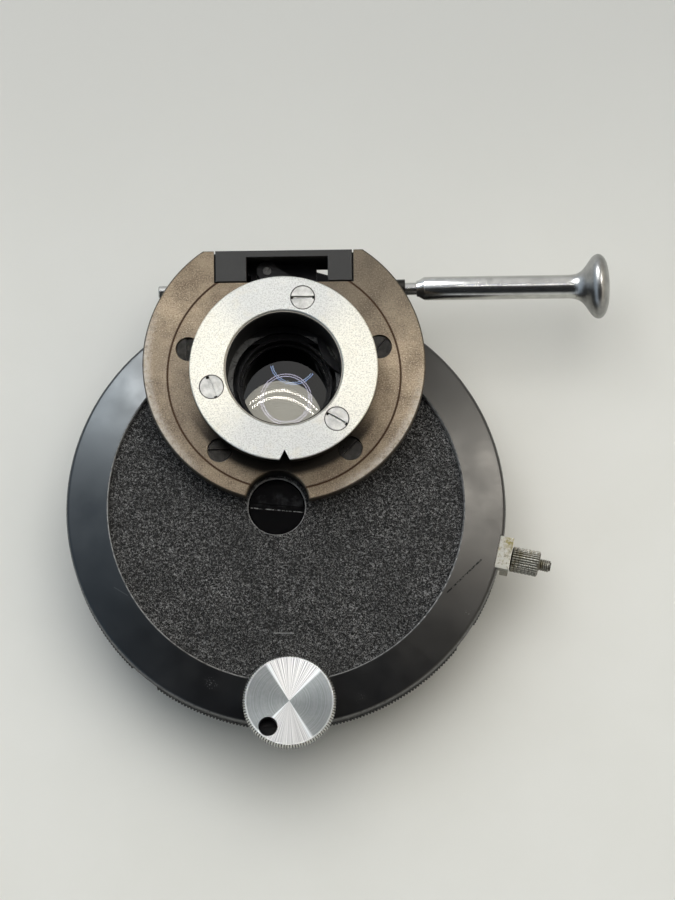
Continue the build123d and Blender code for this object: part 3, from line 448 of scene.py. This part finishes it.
def knurled_nut():
    """Lock nut: straight knurl, cut across by fine rings, and turned ends."""
    teeth, outer, bore = 30, 3.08 * MM, 1.49 * MM
    angles = np.linspace(0, 2 * pi, teeth * 8, endpoint=False)
    knurl = 0.36 * MM * (1 - tooth_wave(angles, teeth, 0.6))
    profile = [(bore, 0, 55.45), (2.0 * MM, 0, 55.25), (2.5 * MM, 0, 55.25), (outer, 1, 55.6)]
    for place in np.arange(56.0, 61.4, 0.9):
        profile += [(outer, 1, place), (outer - 0.13 * MM, 0.8, place + 0.25), (outer, 1, place + 0.5)]
    profile += [(outer, 1, 61.85), (2.5 * MM, 0, 62.2), (1.9 * MM, 0, 62.2), (bore, 0, 61.95)]
    rings = [ring_of(radius - knurl * share, angles, height * MM) for radius, share, height in profile]
    return loft("knurled_nut", rings, closed=True, place=lock_frame())


def turned_handle():
    """Handle of the rod: straight grip with a chamfered collar, flared into a thick rounded end."""
    low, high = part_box("rod_handle")
    along = [(32.3, 1.75), (32.35, 1.95), (32.9, 2.05), (34.0, 2.72), (34.3, 2.85), (50.0, 2.86),
             (69.6, 2.87), (70.6, 2.98), (71.6, 3.3), (72.6, 3.95), (73.4, 4.85), (74.1, 5.95),
             (74.8, 6.95), (75.4, 7.5), (76.0, 7.8), (76.5, 7.88), (77.0, 7.8), (77.6, 7.42),
             (78.1, 6.8), (78.5, 6.0), (78.85, 4.8), (79.05, 3.4), (79.15, 1.8), (79.18, 0.4)]
    place, radius = np.array(along).T
    fine = np.concatenate([place[:6], np.linspace(51, 69, 4), np.linspace(69.6, 76.5, 30),
                           np.linspace(76.6, 78.9, 20), [78.95, 79.05, 79.11, 79.15, 79.18]])
    bent = np.interp(fine, place, radius)
    bent[10:-5] = np.convolve(np.pad(bent, 1, mode="edge"), (0.25, 0.5, 0.25), mode="valid")[10:-5]
    angles = np.linspace(0, 2 * pi, 96, endpoint=False)
    middle = Matrix.Translation((0, (low.y + high.y) / 2, (low.z + high.z) / 2))
    rings = [ring_of(np.full_like(angles, r * MM), angles, x * MM) for x, r in zip(fine, bent)]
    handle = loft("turned_handle", rings, place=middle @ Matrix.Rotation(radians(90), 4, "Y"))
    handle.data.shade_smooth()
    handle.data.set_sharp_from_angle(angle=radians(40))
    return handle


def threaded_stud():
    """Threaded stud with a driver slot in its end."""
    pitch, start, end = 0.5, 53.62, 65.0
    outer, depth = 1.47 * MM, 0.26 * MM
    angles = np.linspace(0, 2 * pi, 32, endpoint=False)
    rings = []
    for height in np.arange(start, end, pitch / 8):
        turn = np.abs((((height - start) / pitch - angles / (2 * pi)) % 1.0) * 2 - 1)
        fade = np.clip((end - height) / 0.5, 0.25, 1)
        radii = (outer - depth * (1 - np.clip(turn * 1.25, 0, 1))) * fade ** 0.25
        rings.append(ring_of(radii, angles, height * MM))
    rings.append(ring_of(np.full_like(angles, 1.1 * MM), angles, end * MM))
    stud = loft("threaded_stud", rings, place=lock_frame())
    outline = ((-2, -0.22), (2, -0.22), (2, 0.22), (-2, 0.22))
    corners = [(x * MM, y * MM, z * MM) for z in (64.4, 66) for x, y in outline]
    faces = [(3, 2, 1, 0), (4, 5, 6, 7), (0, 1, 5, 4), (1, 2, 6, 5), (2, 3, 7, 6), (3, 0, 4, 7)]
    slot = mesh_object("slot", corners, faces, lock_frame() @ Matrix.Rotation(radians(90), 4, "Z"))
    carve(stud, [slot])
    return stud


def handle_polish():
    """Polished grip; where it flares it is rougher, and its colour is darker as painted shade."""
    def colour(tree):
        place = part_of(tree, row_place(tree), 0)
        flare = smooth(tree, place, GRIP_END, FLARE_END)
        smudge_and_sheen = smooth(tree, noise(tree, row_place(tree), 0.5, 4), 0.3, 0.7)
        grip = mix(tree, smudge_and_sheen, (0.50, 0.50, 0.485), (0.62, 0.62, 0.60))
        # painted shade: the flare's colour is darker than the grip's
        return mix(tree, flare, grip, mix(tree, smudge_and_sheen, (0.27, 0.27, 0.265), (0.36, 0.36, 0.35)))

    def roughness(tree):
        place = part_of(tree, row_place(tree), 0)
        return between(tree, place, GRIP_END, FLARE_END, 0.22, 0.33)

    def turning(tree):
        place = part_of(tree, row_place(tree), 0)
        return turned(tree, place, 6 / MM)

    return finish("handle_polish", colour, roughness, 1.0, turning, 0.003)


def click_spring():
    """Coil spring behind the click plunger, wound at an even pitch."""
    low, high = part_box("detent_spring")
    wire, turns, steps = 0.18 * MM, 7, 24
    reach = (high.x - low.x) / 2 - wire
    rings = []
    for step in range(turns * steps + 1):
        turn = 2 * pi * step / steps
        along = low.y + wire + (high.y - low.y - 2 * wire) * step / (turns * steps)
        out = Vector((cos(turn), 0, sin(turn)))
        middle = Vector((0, along, (low.z + high.z) / 2)) + reach * out
        rings.append([middle + wire * (cos(a) * out + sin(a) * Vector((0, 1, 0)))
                      for a in np.linspace(0, 2 * pi, 10, endpoint=False)])
    return loft("click_spring", rings)


def broken_edges(name, width):
    """Copy of a CAD piece with its sharp edges broken by a small bevel, whose faces are a second material."""
    shape = nodes[name].copy()
    shape.data = nodes[name].data.copy()
    shape.name = name + "_edged"
    bpy.context.scene.collection.objects.link(shape)
    flat = bmesh.new()
    flat.from_mesh(shape.data)
    bmesh.ops.remove_doubles(flat, verts=flat.verts, dist=1e-7)
    bmesh.ops.dissolve_limit(flat, angle_limit=radians(0.5), verts=flat.verts, edges=flat.edges)
    flat.to_mesh(shape.data)
    shape.data.materials.clear()
    shape.data.materials.append(finishes[slot_of[name]])
    shape.data.materials.append(edge_finishes[name])
    bevel = shape.modifiers.new("edges", "BEVEL")
    bevel.width, bevel.segments, bevel.limit_method = width * MM, 2, "ANGLE"
    bevel.angle_limit, bevel.material, bevel.harden_normals = SHARP_CORNERS, 1, False
    bpy.context.view_layer.update()
    made = bpy.data.meshes.new_from_object(shape.evaluated_get(bpy.context.evaluated_depsgraph_get()))
    shape.modifiers.clear()
    shape.data = made
    return shape


def grained_leather():
    """The leatherette disc with its grain raised, cut to the outline of the CAD disc."""
    shape = bmesh.new()
    shape.from_mesh(nodes["leather_inlay"].data)
    bmesh.ops.dissolve_limit(shape, angle_limit=radians(1), verts=shape.verts, edges=shape.edges)
    top = max(vertex.co.z for vertex in shape.verts)
    for axis in (0, 1):
        places = [vertex.co[axis] for vertex in shape.verts]
        for place in np.arange(min(places) + GRAIN_STEP / 2, max(places), GRAIN_STEP):
            point, normal = Vector((0, 0, 0)), Vector((0, 0, 0))
            point[axis], normal[axis] = place, 1
            roof = [face for face in shape.faces if face.normal.z > 0.9]
            edges = {edge for face in roof for edge in face.edges}
            verts = {vertex for face in roof for vertex in face.verts}
            bmesh.ops.bisect_plane(shape, geom=[*verts, *edges, *roof], plane_co=point, plane_no=normal)
    for vertex in shape.verts:
        if vertex.co.z < top - 0.01 * MM:
            continue
        rim = hypot(vertex.co.x - axle.x, vertex.co.y - axle.y)
        place = vertex.co / MM
        bent = place + 0.8 * mathutils.noise.noise_vector(place * 0.55)
        cells = mathutils.noise.voronoi(bent * 0.62)[0]
        crease = min((cells[1] - cells[0]) * 3.0, 1.0)
        pebble = mathutils.noise.fractal(place * 1.35, 0.8, 2.0, 4)
        fade = min((42.5 * MM - rim) / (0.8 * MM), 1.0)
        vertex.co.z += (0.16 * crease + 0.11 * pebble - 0.12) * MM * max(fade, 0)
    mesh = bpy.data.meshes.new("grained_leather")
    shape.to_mesh(mesh)
    made = bpy.data.objects.new("grained_leather", mesh)
    bpy.context.scene.collection.objects.link(made)
    return made


# ---------------------------------------------------------------- finishes
def table_finish():
    """Warm white board, hardly mottled; its far part is painted darker, as painted shade."""
    def colour(tree):
        place = row_place(tree)
        cloud = noise(tree, place, 0.02, 4)
        board = mix(tree, smooth(tree, cloud, 0.3, 0.75), (0.755, 0.75, 0.69), (0.785, 0.78, 0.725))
        # painted shade: the board darkens towards +Y, from -0.03 m to 0.12 m
        away = part_of(tree, place, 1)
        return mix(tree, smooth(tree, away, -0.03, 0.12), board, (0.555, 0.555, 0.52))

    return finish("table_board", colour, 0.55)


def lacquer():
    """Satin black lacquer with its scratches; the edges of the cover are painted bright, as wear and as
    painted edge highlight.
    """
    def scuffs_and_edge_glints(tree):
        place = row_place(tree)
        radius, _ = away_from(tree, place, axle)
        speck = noise(tree, place, 1.2, 4, 0.7)
        # painted highlight: the cover's outer and inner edges are painted bright, together with their wear
        outer = smooth(tree, radius, 52.35 * MM, 52.7 * MM)
        inner = smooth(tree, radius, 42.95 * MM, 42.75 * MM)
        above = smooth(tree, part_of(tree, place, 2), 21.6 * MM, 22.2 * MM)
        wear_and_edge_glint = calc(tree, "MULTIPLY", calc(tree, "MAXIMUM", calc(tree, "MULTIPLY", outer, 0.5), inner), above)
        wear_and_edge_glint = calc(tree, "MULTIPLY", wear_and_edge_glint, smooth(tree, speck, 0.3, 0.55))
        fleck = smooth(tree, noise(tree, place, 2.4, 3, 0.7), 0.60, 0.66)
        for x, y, size in ((-18.4, -73.6, 2.2), (-52.2, -24.9, 0.7), (-52.3, -30.2, 0.6), (43.0, -57.0, 1.0),
                           (-6.0, -78.6, 1.2), (17.0, -77.5, 1.5)):
            off, _ = away_from(tree, place, (x * MM, y * MM, 0))
            spot = calc(tree, "MULTIPLY", smooth(tree, off, size * MM, size * 0.3 * MM), fleck)
            wear_and_edge_glint = calc(tree, "MAXIMUM", wear_and_edge_glint, calc(tree, "MULTIPLY", spot, 0.6))
        hair = near_segment(tree, place, (-41.2 * MM, -50.2 * MM, 0), (-38.0 * MM, -52.3 * MM, 0), 0.14 * MM)
        return calc(tree, "MAXIMUM", wear_and_edge_glint, calc(tree, "MULTIPLY", hair, 0.12))

    def gloss(tree):
        place = row_place(tree)
        scratch = near_segment(tree, place, (38.3 * MM, -52.6 * MM, 0), (46.5 * MM, -44.6 * MM, 0), 0.28 * MM)
        scratch = calc(tree, "MULTIPLY", scratch, smooth(tree, noise(tree, place, 1.6, 5, 0.7), 0.44, 0.5))
        height = part_of(tree, place, 2)
        shown = calc(tree, "MULTIPLY", calc(tree, "SUBTRACT", 1.0, scratch),
                     smooth(tree, height, 21.2 * MM, 22.2 * MM))
        return between(tree, shown, 0.0, 1.0, 0.06, 0.56)

    # painted reflection: the sheen is tinted cool on the left and warm on the right
    def tint(tree):
        left = part_of(tree, row_place(tree), 0)
        return mix(tree, smooth(tree, left, -48 * MM, -15 * MM), (0.84, 0.94, 1.0), (1.0, 0.99, 0.95))

    def colour(tree):
        place = row_place(tree)
        haze = noise(tree, place, 0.08, 5)
        base = mix(tree, smooth(tree, haze, 0.35, 0.7), (0.0028, 0.003, 0.004), (0.006, 0.0065, 0.008))
        return mix(tree, scuffs_and_edge_glints(tree), base, (0.23, 0.23, 0.225))

    def roughness(tree):
        smudge_and_sheen = noise(tree, row_place(tree), 0.12, 6, 0.6)
        return between(tree, smudge_and_sheen, 0.3, 0.7, 0.3, 0.42)

    return finish("black_lacquer", colour, roughness, bump=speckle(3.0, 2), bump_mm=0.004,
                  Specular_IOR_Level=gloss, Specular_Tint=tint)


def bronzed():
    """Brown bronzed steel: mottled, finely turned, rubbed to silver at the left and lower right edge; with
    painted shade and reflection by direction, a painted shadow by the dovetail ring and a painted dark line
    at its outer edge.
    """
    centre = (0, 3 * MM, 0)

    def colour(tree):
        place = row_place(tree)
        radius, flat = away_from(tree, place, centre)
        cloud = noise(tree, place, 0.16, 6, 0.65)
        speck = noise(tree, place, 2.9, 3, 0.75)
        base = mix(tree, smooth(tree, cloud, 0.22, 0.78), (0.14, 0.105, 0.07), (0.34, 0.272, 0.188))
        base = mix(tree, smooth(tree, speck, 0.5, 0.68), base, (0.42, 0.35, 0.26))
        pit = calc(tree, "MULTIPLY", smooth(tree, speck, 0.46, 0.32), 0.7)
        base = mix(tree, pit, base, (0.045, 0.033, 0.024))
        # painted shade: darker where the radius runs away from X, the dark fans of a reflection pattern
        way = vector_calc(tree, "NORMALIZE", flat)
        across = calc(tree, "ABSOLUTE", part_of(tree, way, 0))
        reflection_fan = calc(tree, "MULTIPLY", smooth(tree, across, 0.98, 0.62), 0.42)
        base = mix(tree, reflection_fan, base, (0.06, 0.045, 0.03))
        left = vector_calc(tree, "DOT_PRODUCT", way, (-0.97, -0.25, 0))
        right = vector_calc(tree, "DOT_PRODUCT", way, (0.80, -0.60, 0))
        sides = calc(tree, "MAXIMUM", smooth(tree, left, 0.72, 0.98), smooth(tree, right, 0.8, 1.0))
        edge = smooth(tree, radius, 31.2 * MM, 33.6 * MM)
        wear_and_edge_glint = calc(tree, "MULTIPLY", sides, edge)
        wear_and_edge_glint = calc(tree, "MULTIPLY", wear_and_edge_glint, smooth(tree, noise(tree, place, 0.9, 5, 0.7), 0.3, 0.6))
        # painted shade: darker towards the left
        painted_dim = calc(tree, "MULTIPLY", smooth(tree, left, 0.75, 0.98), 0.3)
        base = mix(tree, painted_dim, base, (0.06, 0.052, 0.045))
        base = mix(tree, calc(tree, "MULTIPLY", wear_and_edge_glint, 0.6), base, (0.46, 0.44, 0.40))
        from_path, flat_path = away_from(tree, place, (0, 0, 0))
        # painted shade: darker towards the upper right
        upper_right = vector_calc(tree, "DOT_PRODUCT", way, (0.55, 0.83, 0))
        shaded = calc(tree, "MULTIPLY", smooth(tree, upper_right, 0.55, 0.92), 0.5)
        base = mix(tree, shaded, base, (0.05, 0.045, 0.036))
        # painted shadow of the dovetail ring, on the plate close round the ring towards -Y
        front = part_of(tree, flat_path, 1)
        grime_and_shadow = calc(tree, "MULTIPLY", smooth(tree, from_path, 25.4 * MM, 23.6 * MM),
                    smooth(tree, front, -6 * MM, -17 * MM))
        base = mix(tree, calc(tree, "MULTIPLY", grime_and_shadow, 0.95), base, (0.006, 0.005, 0.004))
        # painted shade: a dark line round the plate's outer edge
        rim = smooth(tree, radius, 33.55 * MM, 33.85 * MM)
        base = mix(tree, calc(tree, "MULTIPLY", rim, 0.75), base, (0.02, 0.016, 0.012))
        off_line = calc(tree, "ABSOLUTE", calc(tree, "SUBTRACT", from_path, 28 * MM))
        return mix(tree, smooth(tree, off_line, 0.34 * MM, 0.16 * MM), base, (0.045, 0.022, 0.01))

    def turning(tree):
        radius, _ = away_from(tree, row_place(tree), centre)
        grain = noise(tree, row_place(tree), 5.0, 2)
        return calc(tree, "ADD", turned(tree, radius, 9 / MM), calc(tree, "MULTIPLY", grain, 0.8))

    return finish("bronzed_steel", colour, 0.45, 0.75, turning, 0.006)


def satin_nickel():
    """Bright ring, finely turned; its sheen is painted brighter where the turning runs across X, and its side
    below the top face is painted dark as shade.
    """
    def colour(tree):
        cloud = noise(tree, row_place(tree), 0.25, 5)
        radius, flat = away_from(tree, row_place(tree), (0, 0, 0))
        way = vector_calc(tree, "NORMALIZE", flat)
        across = calc(tree, "ABSOLUTE", part_of(tree, way, 0))
        rings = turned(tree, radius, 5 / MM, 4.0)
        grit = noise(tree, row_place(tree), 2.8, 3, 0.75)
        # painted reflection: brighter where the turning lines run across X
        base = mix(tree, smooth(tree, across, 0.45, 0.95), (0.565, 0.575, 0.555), (0.755, 0.74, 0.65))
        for value, start, end, strength, tone in ((grit, 0.44, 0.66, 0.52, (0.20, 0.20, 0.185)),
                                                  (rings, 0.45, 0.65, 0.10, (0.24, 0.23, 0.20)),
                                                  (cloud, 0.55, 0.75, 0.30, (0.57, 0.53, 0.42))):
            base = mix(tree, calc(tree, "MULTIPLY", smooth(tree, value, start, end), strength), base, tone)
        # painted shade: the ring's side, below its top face, is nearly black
        ring_side_shade = smooth(tree, part_of(tree, row_place(tree), 2), plate_top + 7.8 * MM, plate_top + 7.3 * MM)
        base = mix(tree, ring_side_shade, base, (0.015, 0.014, 0.012))
        for angle in RING_SCREW_ANGLES:
            spot = RING_SCREW_RADIUS * Vector((cos(radians(angle)), sin(radians(angle)), 0))
            off, _ = away_from(tree, row_place(tree), spot)
            seam = calc(tree, "MULTIPLY", smooth(tree, off, 2.62 * MM, 2.75 * MM),
                        smooth(tree, off, 3.08 * MM, 2.92 * MM))
            base = mix(tree, seam, base, (0.05, 0.045, 0.04))
        return base

    def turning(tree):
        radius, _ = away_from(tree, row_place(tree), (0, 0, 0))
        return calc(tree, "ADD", turned(tree, radius, 7 / MM, 4.0), noise(tree, row_place(tree), 4.0, 2))

    return finish("satin_nickel", colour, 0.40, 1.0, turning, 0.008)


def plain_metal(name, colour, roughness, metallic=1.0, spots=0.3, grain=0.004):
    """Metal or dark oxide with a little variation."""
    def tone(tree):
        cloud = noise(tree, row_place(tree), 0.6, 5, 0.65)
        darker = tuple(c * (1 - spots) for c in colour)
        return mix(tree, smooth(tree, cloud, 0.3, 0.7), darker, colour)

    def sheen(tree):
        smudge_and_sheen = noise(tree, row_place(tree), 0.8, 4)
        return between(tree, smudge_and_sheen, 0.0, 1.0, roughness * 0.8, roughness * 1.2)

    return finish(name, tone, sheen, metallic, speckle(6.0, 2), grain)


def optical_black():
    """Matt optical black; the top edge of the light tube is painted pale, as bare metal rubbed through and as
    painted edge highlight.
    """
    def colour(tree):
        place = row_place(tree)
        radius, _ = away_from(tree, place, (0, 0, 0))
        height = part_of(tree, place, 2)
        # painted highlight on the tube's top edge, together with bare metal rubbed through
        edge = smooth(tree, height, 37.2 * MM, 37.26 * MM)
        edge = calc(tree, "MULTIPLY", edge, smooth(tree, radius, 13.78 * MM, 13.9 * MM))
        dust = smooth(tree, noise(tree, place, 0.9, 5, 0.7), 0.55, 0.8)
        base = mix(tree, dust, (0.0035, 0.0035, 0.004), (0.011, 0.0105, 0.010))
        return mix(tree, edge, base, (0.42, 0.39, 0.33))

    return finish("optical_black", colour, 0.34, 0.0, speckle(4.0, 3), 0.006, Specular_IOR_Level=0.22)


def spun_aluminium():
    """Face turned in fine circles, with painted reflection: two bright fans with fine rays and two dim ones
    between them; the knurl is painted dark at its roots and bright at its crests.
    """
    def around(tree):
        radius, flat = away_from(tree, row_place(tree), knob_axis)
        return radius, calc(tree, "ARCTAN2", part_of(tree, flat, 1), part_of(tree, flat, 0))

    def colour(tree):
        radius, turn = around(tree)
        # painted reflection: two bright fans and two dim ones, as the turned face catches the light
        from_fan = calc(tree, "SUBTRACT", turn, radians(82.5))
        double = calc(tree, "COSINE", calc(tree, "MULTIPLY", from_fan, 2.0))
        reflection_fan = smooth(tree, double, 0.12, 0.30)
        # painted highlight: a bright line along the edges of the bright fans
        off_edge = calc(tree, "ABSOLUTE", calc(tree, "SUBTRACT", double, 0.27))
        edge = calc(tree, "SUBTRACT", 1.0, smooth(tree, off_edge, 0.0, 0.16))
        rays, circles = turned(tree, turn, 30.0), turned(tree, radius, 3.2 / MM)
        grit = calc(tree, "ADD", calc(tree, "MULTIPLY", circles, 0.7),
                    calc(tree, "MULTIPLY", noise(tree, row_place(tree), 1.2, 4, 0.6), 0.3))
        bright = mix(tree, smooth(tree, rays, 0.38, 0.6), (0.37, 0.375, 0.375), (0.86, 0.86, 0.845))
        painted_dim = mix(tree, smooth(tree, grit, 0.3, 0.7), (0.215, 0.232, 0.232), (0.295, 0.314, 0.314))
        # painted shade: the lower halves of the bright fans are darker
        below = calc(tree, "MULTIPLY", smooth(tree, calc(tree, "SINE", turn), 0.0, -0.5), 0.45)
        bright = mix(tree, below, bright, (0.42, 0.43, 0.43))
        face = mix(tree, reflection_fan, painted_dim, bright)
        face = mix(tree, calc(tree, "MULTIPLY", edge, 0.7), face, (0.82, 0.87, 0.88))
        border = calc(tree, "MULTIPLY", smooth(tree, radius, 10.05 * MM, 10.25 * MM), 0.7)
        face = mix(tree, border, face, (0.62, 0.63, 0.62))
        # painted light and shade on the knurl: dark roots, bright crests
        tooth = calc(tree, "PINGPONG", calc(tree, "MULTIPLY", turn, KNOB_TEETH / (2 * pi)), 0.5)
        knurl = mix(tree, smooth(tree, tooth, 0.08, 0.26), (0.03, 0.03, 0.03), (0.80, 0.80, 0.77))
        return mix(tree, smooth(tree, radius, 10.58 * MM, 10.5 * MM), knurl, face)

    def turning(tree):
        radius, _ = away_from(tree, row_place(tree), knob_axis)
        return turned(tree, radius, 9 / MM)

    return finish("spun_aluminium", colour, 0.34, 1.0, turning, 0.004, Anisotropic=0.5,
                  Tangent=lambda tree: add_node(tree, "ShaderNodeTangent", direction_type="RADIAL",
                                                axis="Z").outputs[0])


def leatherette():
    """Black grained cloth: fine grains painted bright as glints, and dark creases between patches of them,
    painted as shade.
    """
    def grains(tree):
        return noise(tree, row_place(tree), 2.7, 2, 0.65, 1.2)

    def creases(tree):
        return smooth(tree, noise(tree, row_place(tree), 0.95, 3, 0.6, 1.6), 0.38, 0.54)

    def colour(tree):
        place = row_place(tree)
        # painted highlight: the grains are painted as glints, fewer in the creases, where the cloth is
        # painted dark as shade
        light = smooth(tree, grains(tree), 0.49, 0.62)
        share = calc(tree, "ADD", 0.25, calc(tree, "MULTIPLY", creases(tree), 0.75))
        light = calc(tree, "MULTIPLY", light, share)
        patch = smooth(tree, noise(tree, place, 0.09, 3), 0.3, 0.7)
        grey = mix(tree, patch, (0.16, 0.16, 0.155), (0.25, 0.247, 0.24))
        base = mix(tree, light, (0.002, 0.002, 0.002), grey)
        mark = near_segment(tree, place, (-3.2 * MM, -61.7 * MM, 0), (1.5 * MM, -61.8 * MM, 0), 0.2 * MM)
        return mix(tree, calc(tree, "MULTIPLY", mark, 0.6), base, (0.3, 0.3, 0.29))

    def height(tree):
        return calc(tree, "ADD", calc(tree, "MULTIPLY", creases(tree), 0.6), grains(tree))

    return finish("leatherette", colour, 0.5, 0.0, height, 0.12, Specular_IOR_Level=0.16)


def stained_nickel():
    """Old nickel with yellow stains, and brown grime in the knurl and the thread."""
    def colour(tree):
        place = row_place(tree)
        height = part_of(tree, place, 2)
        offset = vector_calc(tree, "SUBTRACT", place, (axle.x, axle.y, LOCK_HEIGHT))
        along = vector_calc(tree, "DOT_PRODUCT", offset, tuple(lock_way))
        foot = vector_calc(tree, "SCALE", tuple(lock_way), Scale=along)
        reach = vector_calc(tree, "LENGTH", vector_calc(tree, "SUBTRACT", offset, foot))
        grit = noise(tree, place, 1.6, 5, 0.72)
        stain = smooth(tree, noise(tree, place, 0.4, 5, 0.65), 0.46, 0.72)
        base = mix(tree, stain, (0.38, 0.375, 0.335), (0.24, 0.22, 0.145))
        base = mix(tree, smooth(tree, grit, 0.52, 0.66), base, (0.11, 0.095, 0.07))
        past_block = smooth(tree, along, 55.21 * MM, 55.26 * MM)
        beyond_nut = smooth(tree, along, 62.15 * MM, 62.25 * MM)
        low_nut = smooth(tree, reach, 3.02 * MM, 2.86 * MM)
        low_stud = smooth(tree, reach, 1.44 * MM, 1.28 * MM)
        low = mix(tree, beyond_nut, low_nut, low_stud)
        grime_and_shadow = calc(tree, "MULTIPLY", calc(tree, "MULTIPLY", low, past_block), 0.7)
        base = mix(tree, grime_and_shadow, base, (0.045, 0.036, 0.024))
        corner, _ = away_from(tree, place, corner_stain)
        corner = calc(tree, "MULTIPLY", smooth(tree, corner, 2.4 * MM, 0.4 * MM),
                      smooth(tree, height, 22.2 * MM, 22.45 * MM))
        corner = calc(tree, "MULTIPLY", corner, smooth(tree, noise(tree, place, 1.1, 4, 0.7), 0.4, 0.58))
        return mix(tree, corner, base, (0.20, 0.17, 0.05))

    return finish("stained_nickel", colour, 0.40, 0.85, speckle(2.0, 4), 0.03)


def coated_glass(name, colour, **more):
    """Clear optical glass."""
    return finish(name, colour, 0.0, IOR=1.7, **{"Transmission_Weight": 1.0, **more})


def painted_lit_part(tree):
    """1 on the pale, painted light part of the lens, 0 on its dark part. Only a pattern on the surface."""
    off, _ = away_from(tree, row_place(tree), (-1.2 * MM, -8.6 * MM, 0))
    return smooth(tree, off, 10.4 * MM, 10.1 * MM)


def flatter(tree):
    """Normal of the coating, which follows only part of the dome's tilt."""
    normal = add_node(tree, "ShaderNodeNewGeometry").outputs["Normal"]
    part = vector_calc(tree, "SCALE", normal, Scale=LENS_CURVE)
    return vector_calc(tree, "NORMALIZE", vector_calc(tree, "ADD", part, (0, 0, 1 - LENS_CURVE)))


def lens_glass():
    """Front lens: pale and mostly opaque in its lower part, as painted light, nearly black above it."""
    def colour(tree):
        return mix(tree, painted_lit_part(tree), (0.02, 0.02, 0.03), (0.76, 0.73, 0.62))

    def mirroring(tree):
        return mix(tree, painted_lit_part(tree), (0.2, 0.2, 0.2), (0.5, 0.5, 0.5))

    def clearness(tree):
        return calc(tree, "SUBTRACT", 1.0, calc(tree, "MULTIPLY", painted_lit_part(tree), 0.75))

    return coated_glass("lens_glass", colour, Specular_IOR_Level=mirroring, Normal=flatter,
                        Transmission_Weight=clearness)


def plug_face():
    """Polished black plug: a painted sheen above its slot, and an uneven bright line along the slot's lower
    edge, painted as bare metal and as its edge highlight.
    """
    def colour(tree):
        place = row_place(tree)
        # painted highlight along the slot's lower edge, together with bare metal rubbed through
        edge = near_segment(tree, place, (-8.4 * MM, -30.98 * MM, 0), (4.0 * MM, -32.2 * MM, 0), 0.2 * MM)
        slot_edge_glint = calc(tree, "MULTIPLY", edge, smooth(tree, noise(tree, place, 1.1, 4, 0.75), 0.42, 0.62))
        # painted sheen: a pale band above the slot
        band = near_segment(tree, place, (-6.0 * MM, -28.9 * MM, 0), (2.4 * MM, -29.6 * MM, 0), 2.4 * MM)
        smudge_and_sheen = calc(tree, "MULTIPLY", band, smooth(tree, noise(tree, place, 0.35, 4, 0.6), 0.42, 0.75))
        base = mix(tree, calc(tree, "MULTIPLY", smudge_and_sheen, 0.5), (0.0012, 0.0012, 0.0015), (0.05, 0.05, 0.052))
        return mix(tree, slot_edge_glint, base, (0.30, 0.30, 0.29))

    return finish("plug_face", colour, 0.22, 0.0, speckle(0.8, 3), 0.012, Specular_IOR_Level=0.02)


add_camera()
add_world()
add_floor()
ceiling = add_area_light("ceiling", (0.0, 0.45, 1.55), (0, 0, 0), 1.6, 1.6, 16)
ceiling.visible_glossy = False
window = add_area_light("window", (-0.62, 0.92, 1.02), (0, 0, 0), 0.6, 0.6, 24)
side_lamp = add_area_light("side_lamp", (0.87, 0.35, 1.2), (0, 0, 0), 0.46, 0.46, 10, (1.0, 0.95, 0.88))
window.visible_diffuse = side_lamp.visible_diffuse = False
add_lamp_tubes()

finishes = {
    "black_lacquer": lacquer(),
    "leatherette": leatherette(),
    "bronzed_steel": bronzed(),
    "bare_nickel": satin_nickel(),
    "blackened": optical_black(),
    "grey_steel": plain_metal("oxidised_grey", (0.023, 0.023, 0.022), 0.45, 0.4, 0.12),
    "polished_steel": plain_metal("polished_steel", (0.56, 0.56, 0.545), 0.24, 1.0, 0.12, 0.003),
    "screw_steel": plain_metal("screw_steel", (0.60, 0.60, 0.565), 0.36, 1.0, 0.35),
    "dark_screws": plain_metal("blued_screws", (0.04, 0.038, 0.034), 0.3, 0.9, 0.6),
    "spun_aluminium": spun_aluminium(),
    "worn_nickel": stained_nickel(),
    "brass": plain_metal("brass", (0.62, 0.42, 0.16), 0.3),
    "black_rim": finish("rim_black", (0.003, 0.003, 0.0035), 0.5, 0.0, speckle(4.0, 3), 0.01,
                        Specular_IOR_Level=0.12),
    "coated_glass": coated_glass("coated_glass", (0.82, 0.82, 0.76)),
    "amber_glass": coated_glass("amber_glass", (0.95, 0.6, 0.2)),
    "spring_steel": plain_metal("spring_steel", (0.5, 0.5, 0.5), 0.25),
}
plug_black = finish("plug_black", (0.0025, 0.0025, 0.003), 0.25, 0.0, speckle(3.0, 3), 0.004,
                    Specular_IOR_Level=0.12)
# pieces that don't look like the rest of their material slot
special = {"arm_sector": finishes["blackened"], "eccentric_plug": plug_face(), "station_lens": lens_glass(),
           "rod_handle": handle_polish(),
           "arm_pivot_screw": plain_metal("pivot_grey", (0.13, 0.13, 0.125), 0.4, 0.8),
           "knob_bearing_screws": plug_black, "knob_bearing": plug_black}
slot_of = {row["node"]: row["material_slot"] for row in frame["record"]["subparts"]}
body_of = {node: body for body, members in frame["record"]["behaviour"]["bodies"].items() for node in members}
for build, name in ((knurled_rim, "turret_rim"), (knurled_knob, "drive_knob"), (knurled_nut, "lock_nut"),
                    (threaded_stud, "lock_stud"), (turned_handle, "rod_handle"),
                    (click_spring, "detent_spring"), (grained_leather, "leather_inlay")):
    made = build()
    made.data.materials.clear()
    made.data.materials.append(special.get(name, finishes[slot_of[name]]))
    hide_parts(name)
    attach(made, body_of[name])

# CAD pieces whose broken edges get a second, brighter finish
edge_finishes = {"stop_bracket": plain_metal("bracket_edge", (0.17, 0.168, 0.16), 0.4, 0.8),
                 "lock_block": plain_metal("block_edge", (0.58, 0.575, 0.53), 0.35, 0.9)}
for name in edge_finishes:
    made = broken_edges(name, 0.14)
    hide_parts(name)
    if made.parent is None:
        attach(made, body_of[name])

for name, part in nodes.items():
    part.data.materials.clear()
    part.data.materials.append(special.get(name, finishes[slot_of[name]]))

bpy.context.scene.view_settings.view_transform = "Standard"
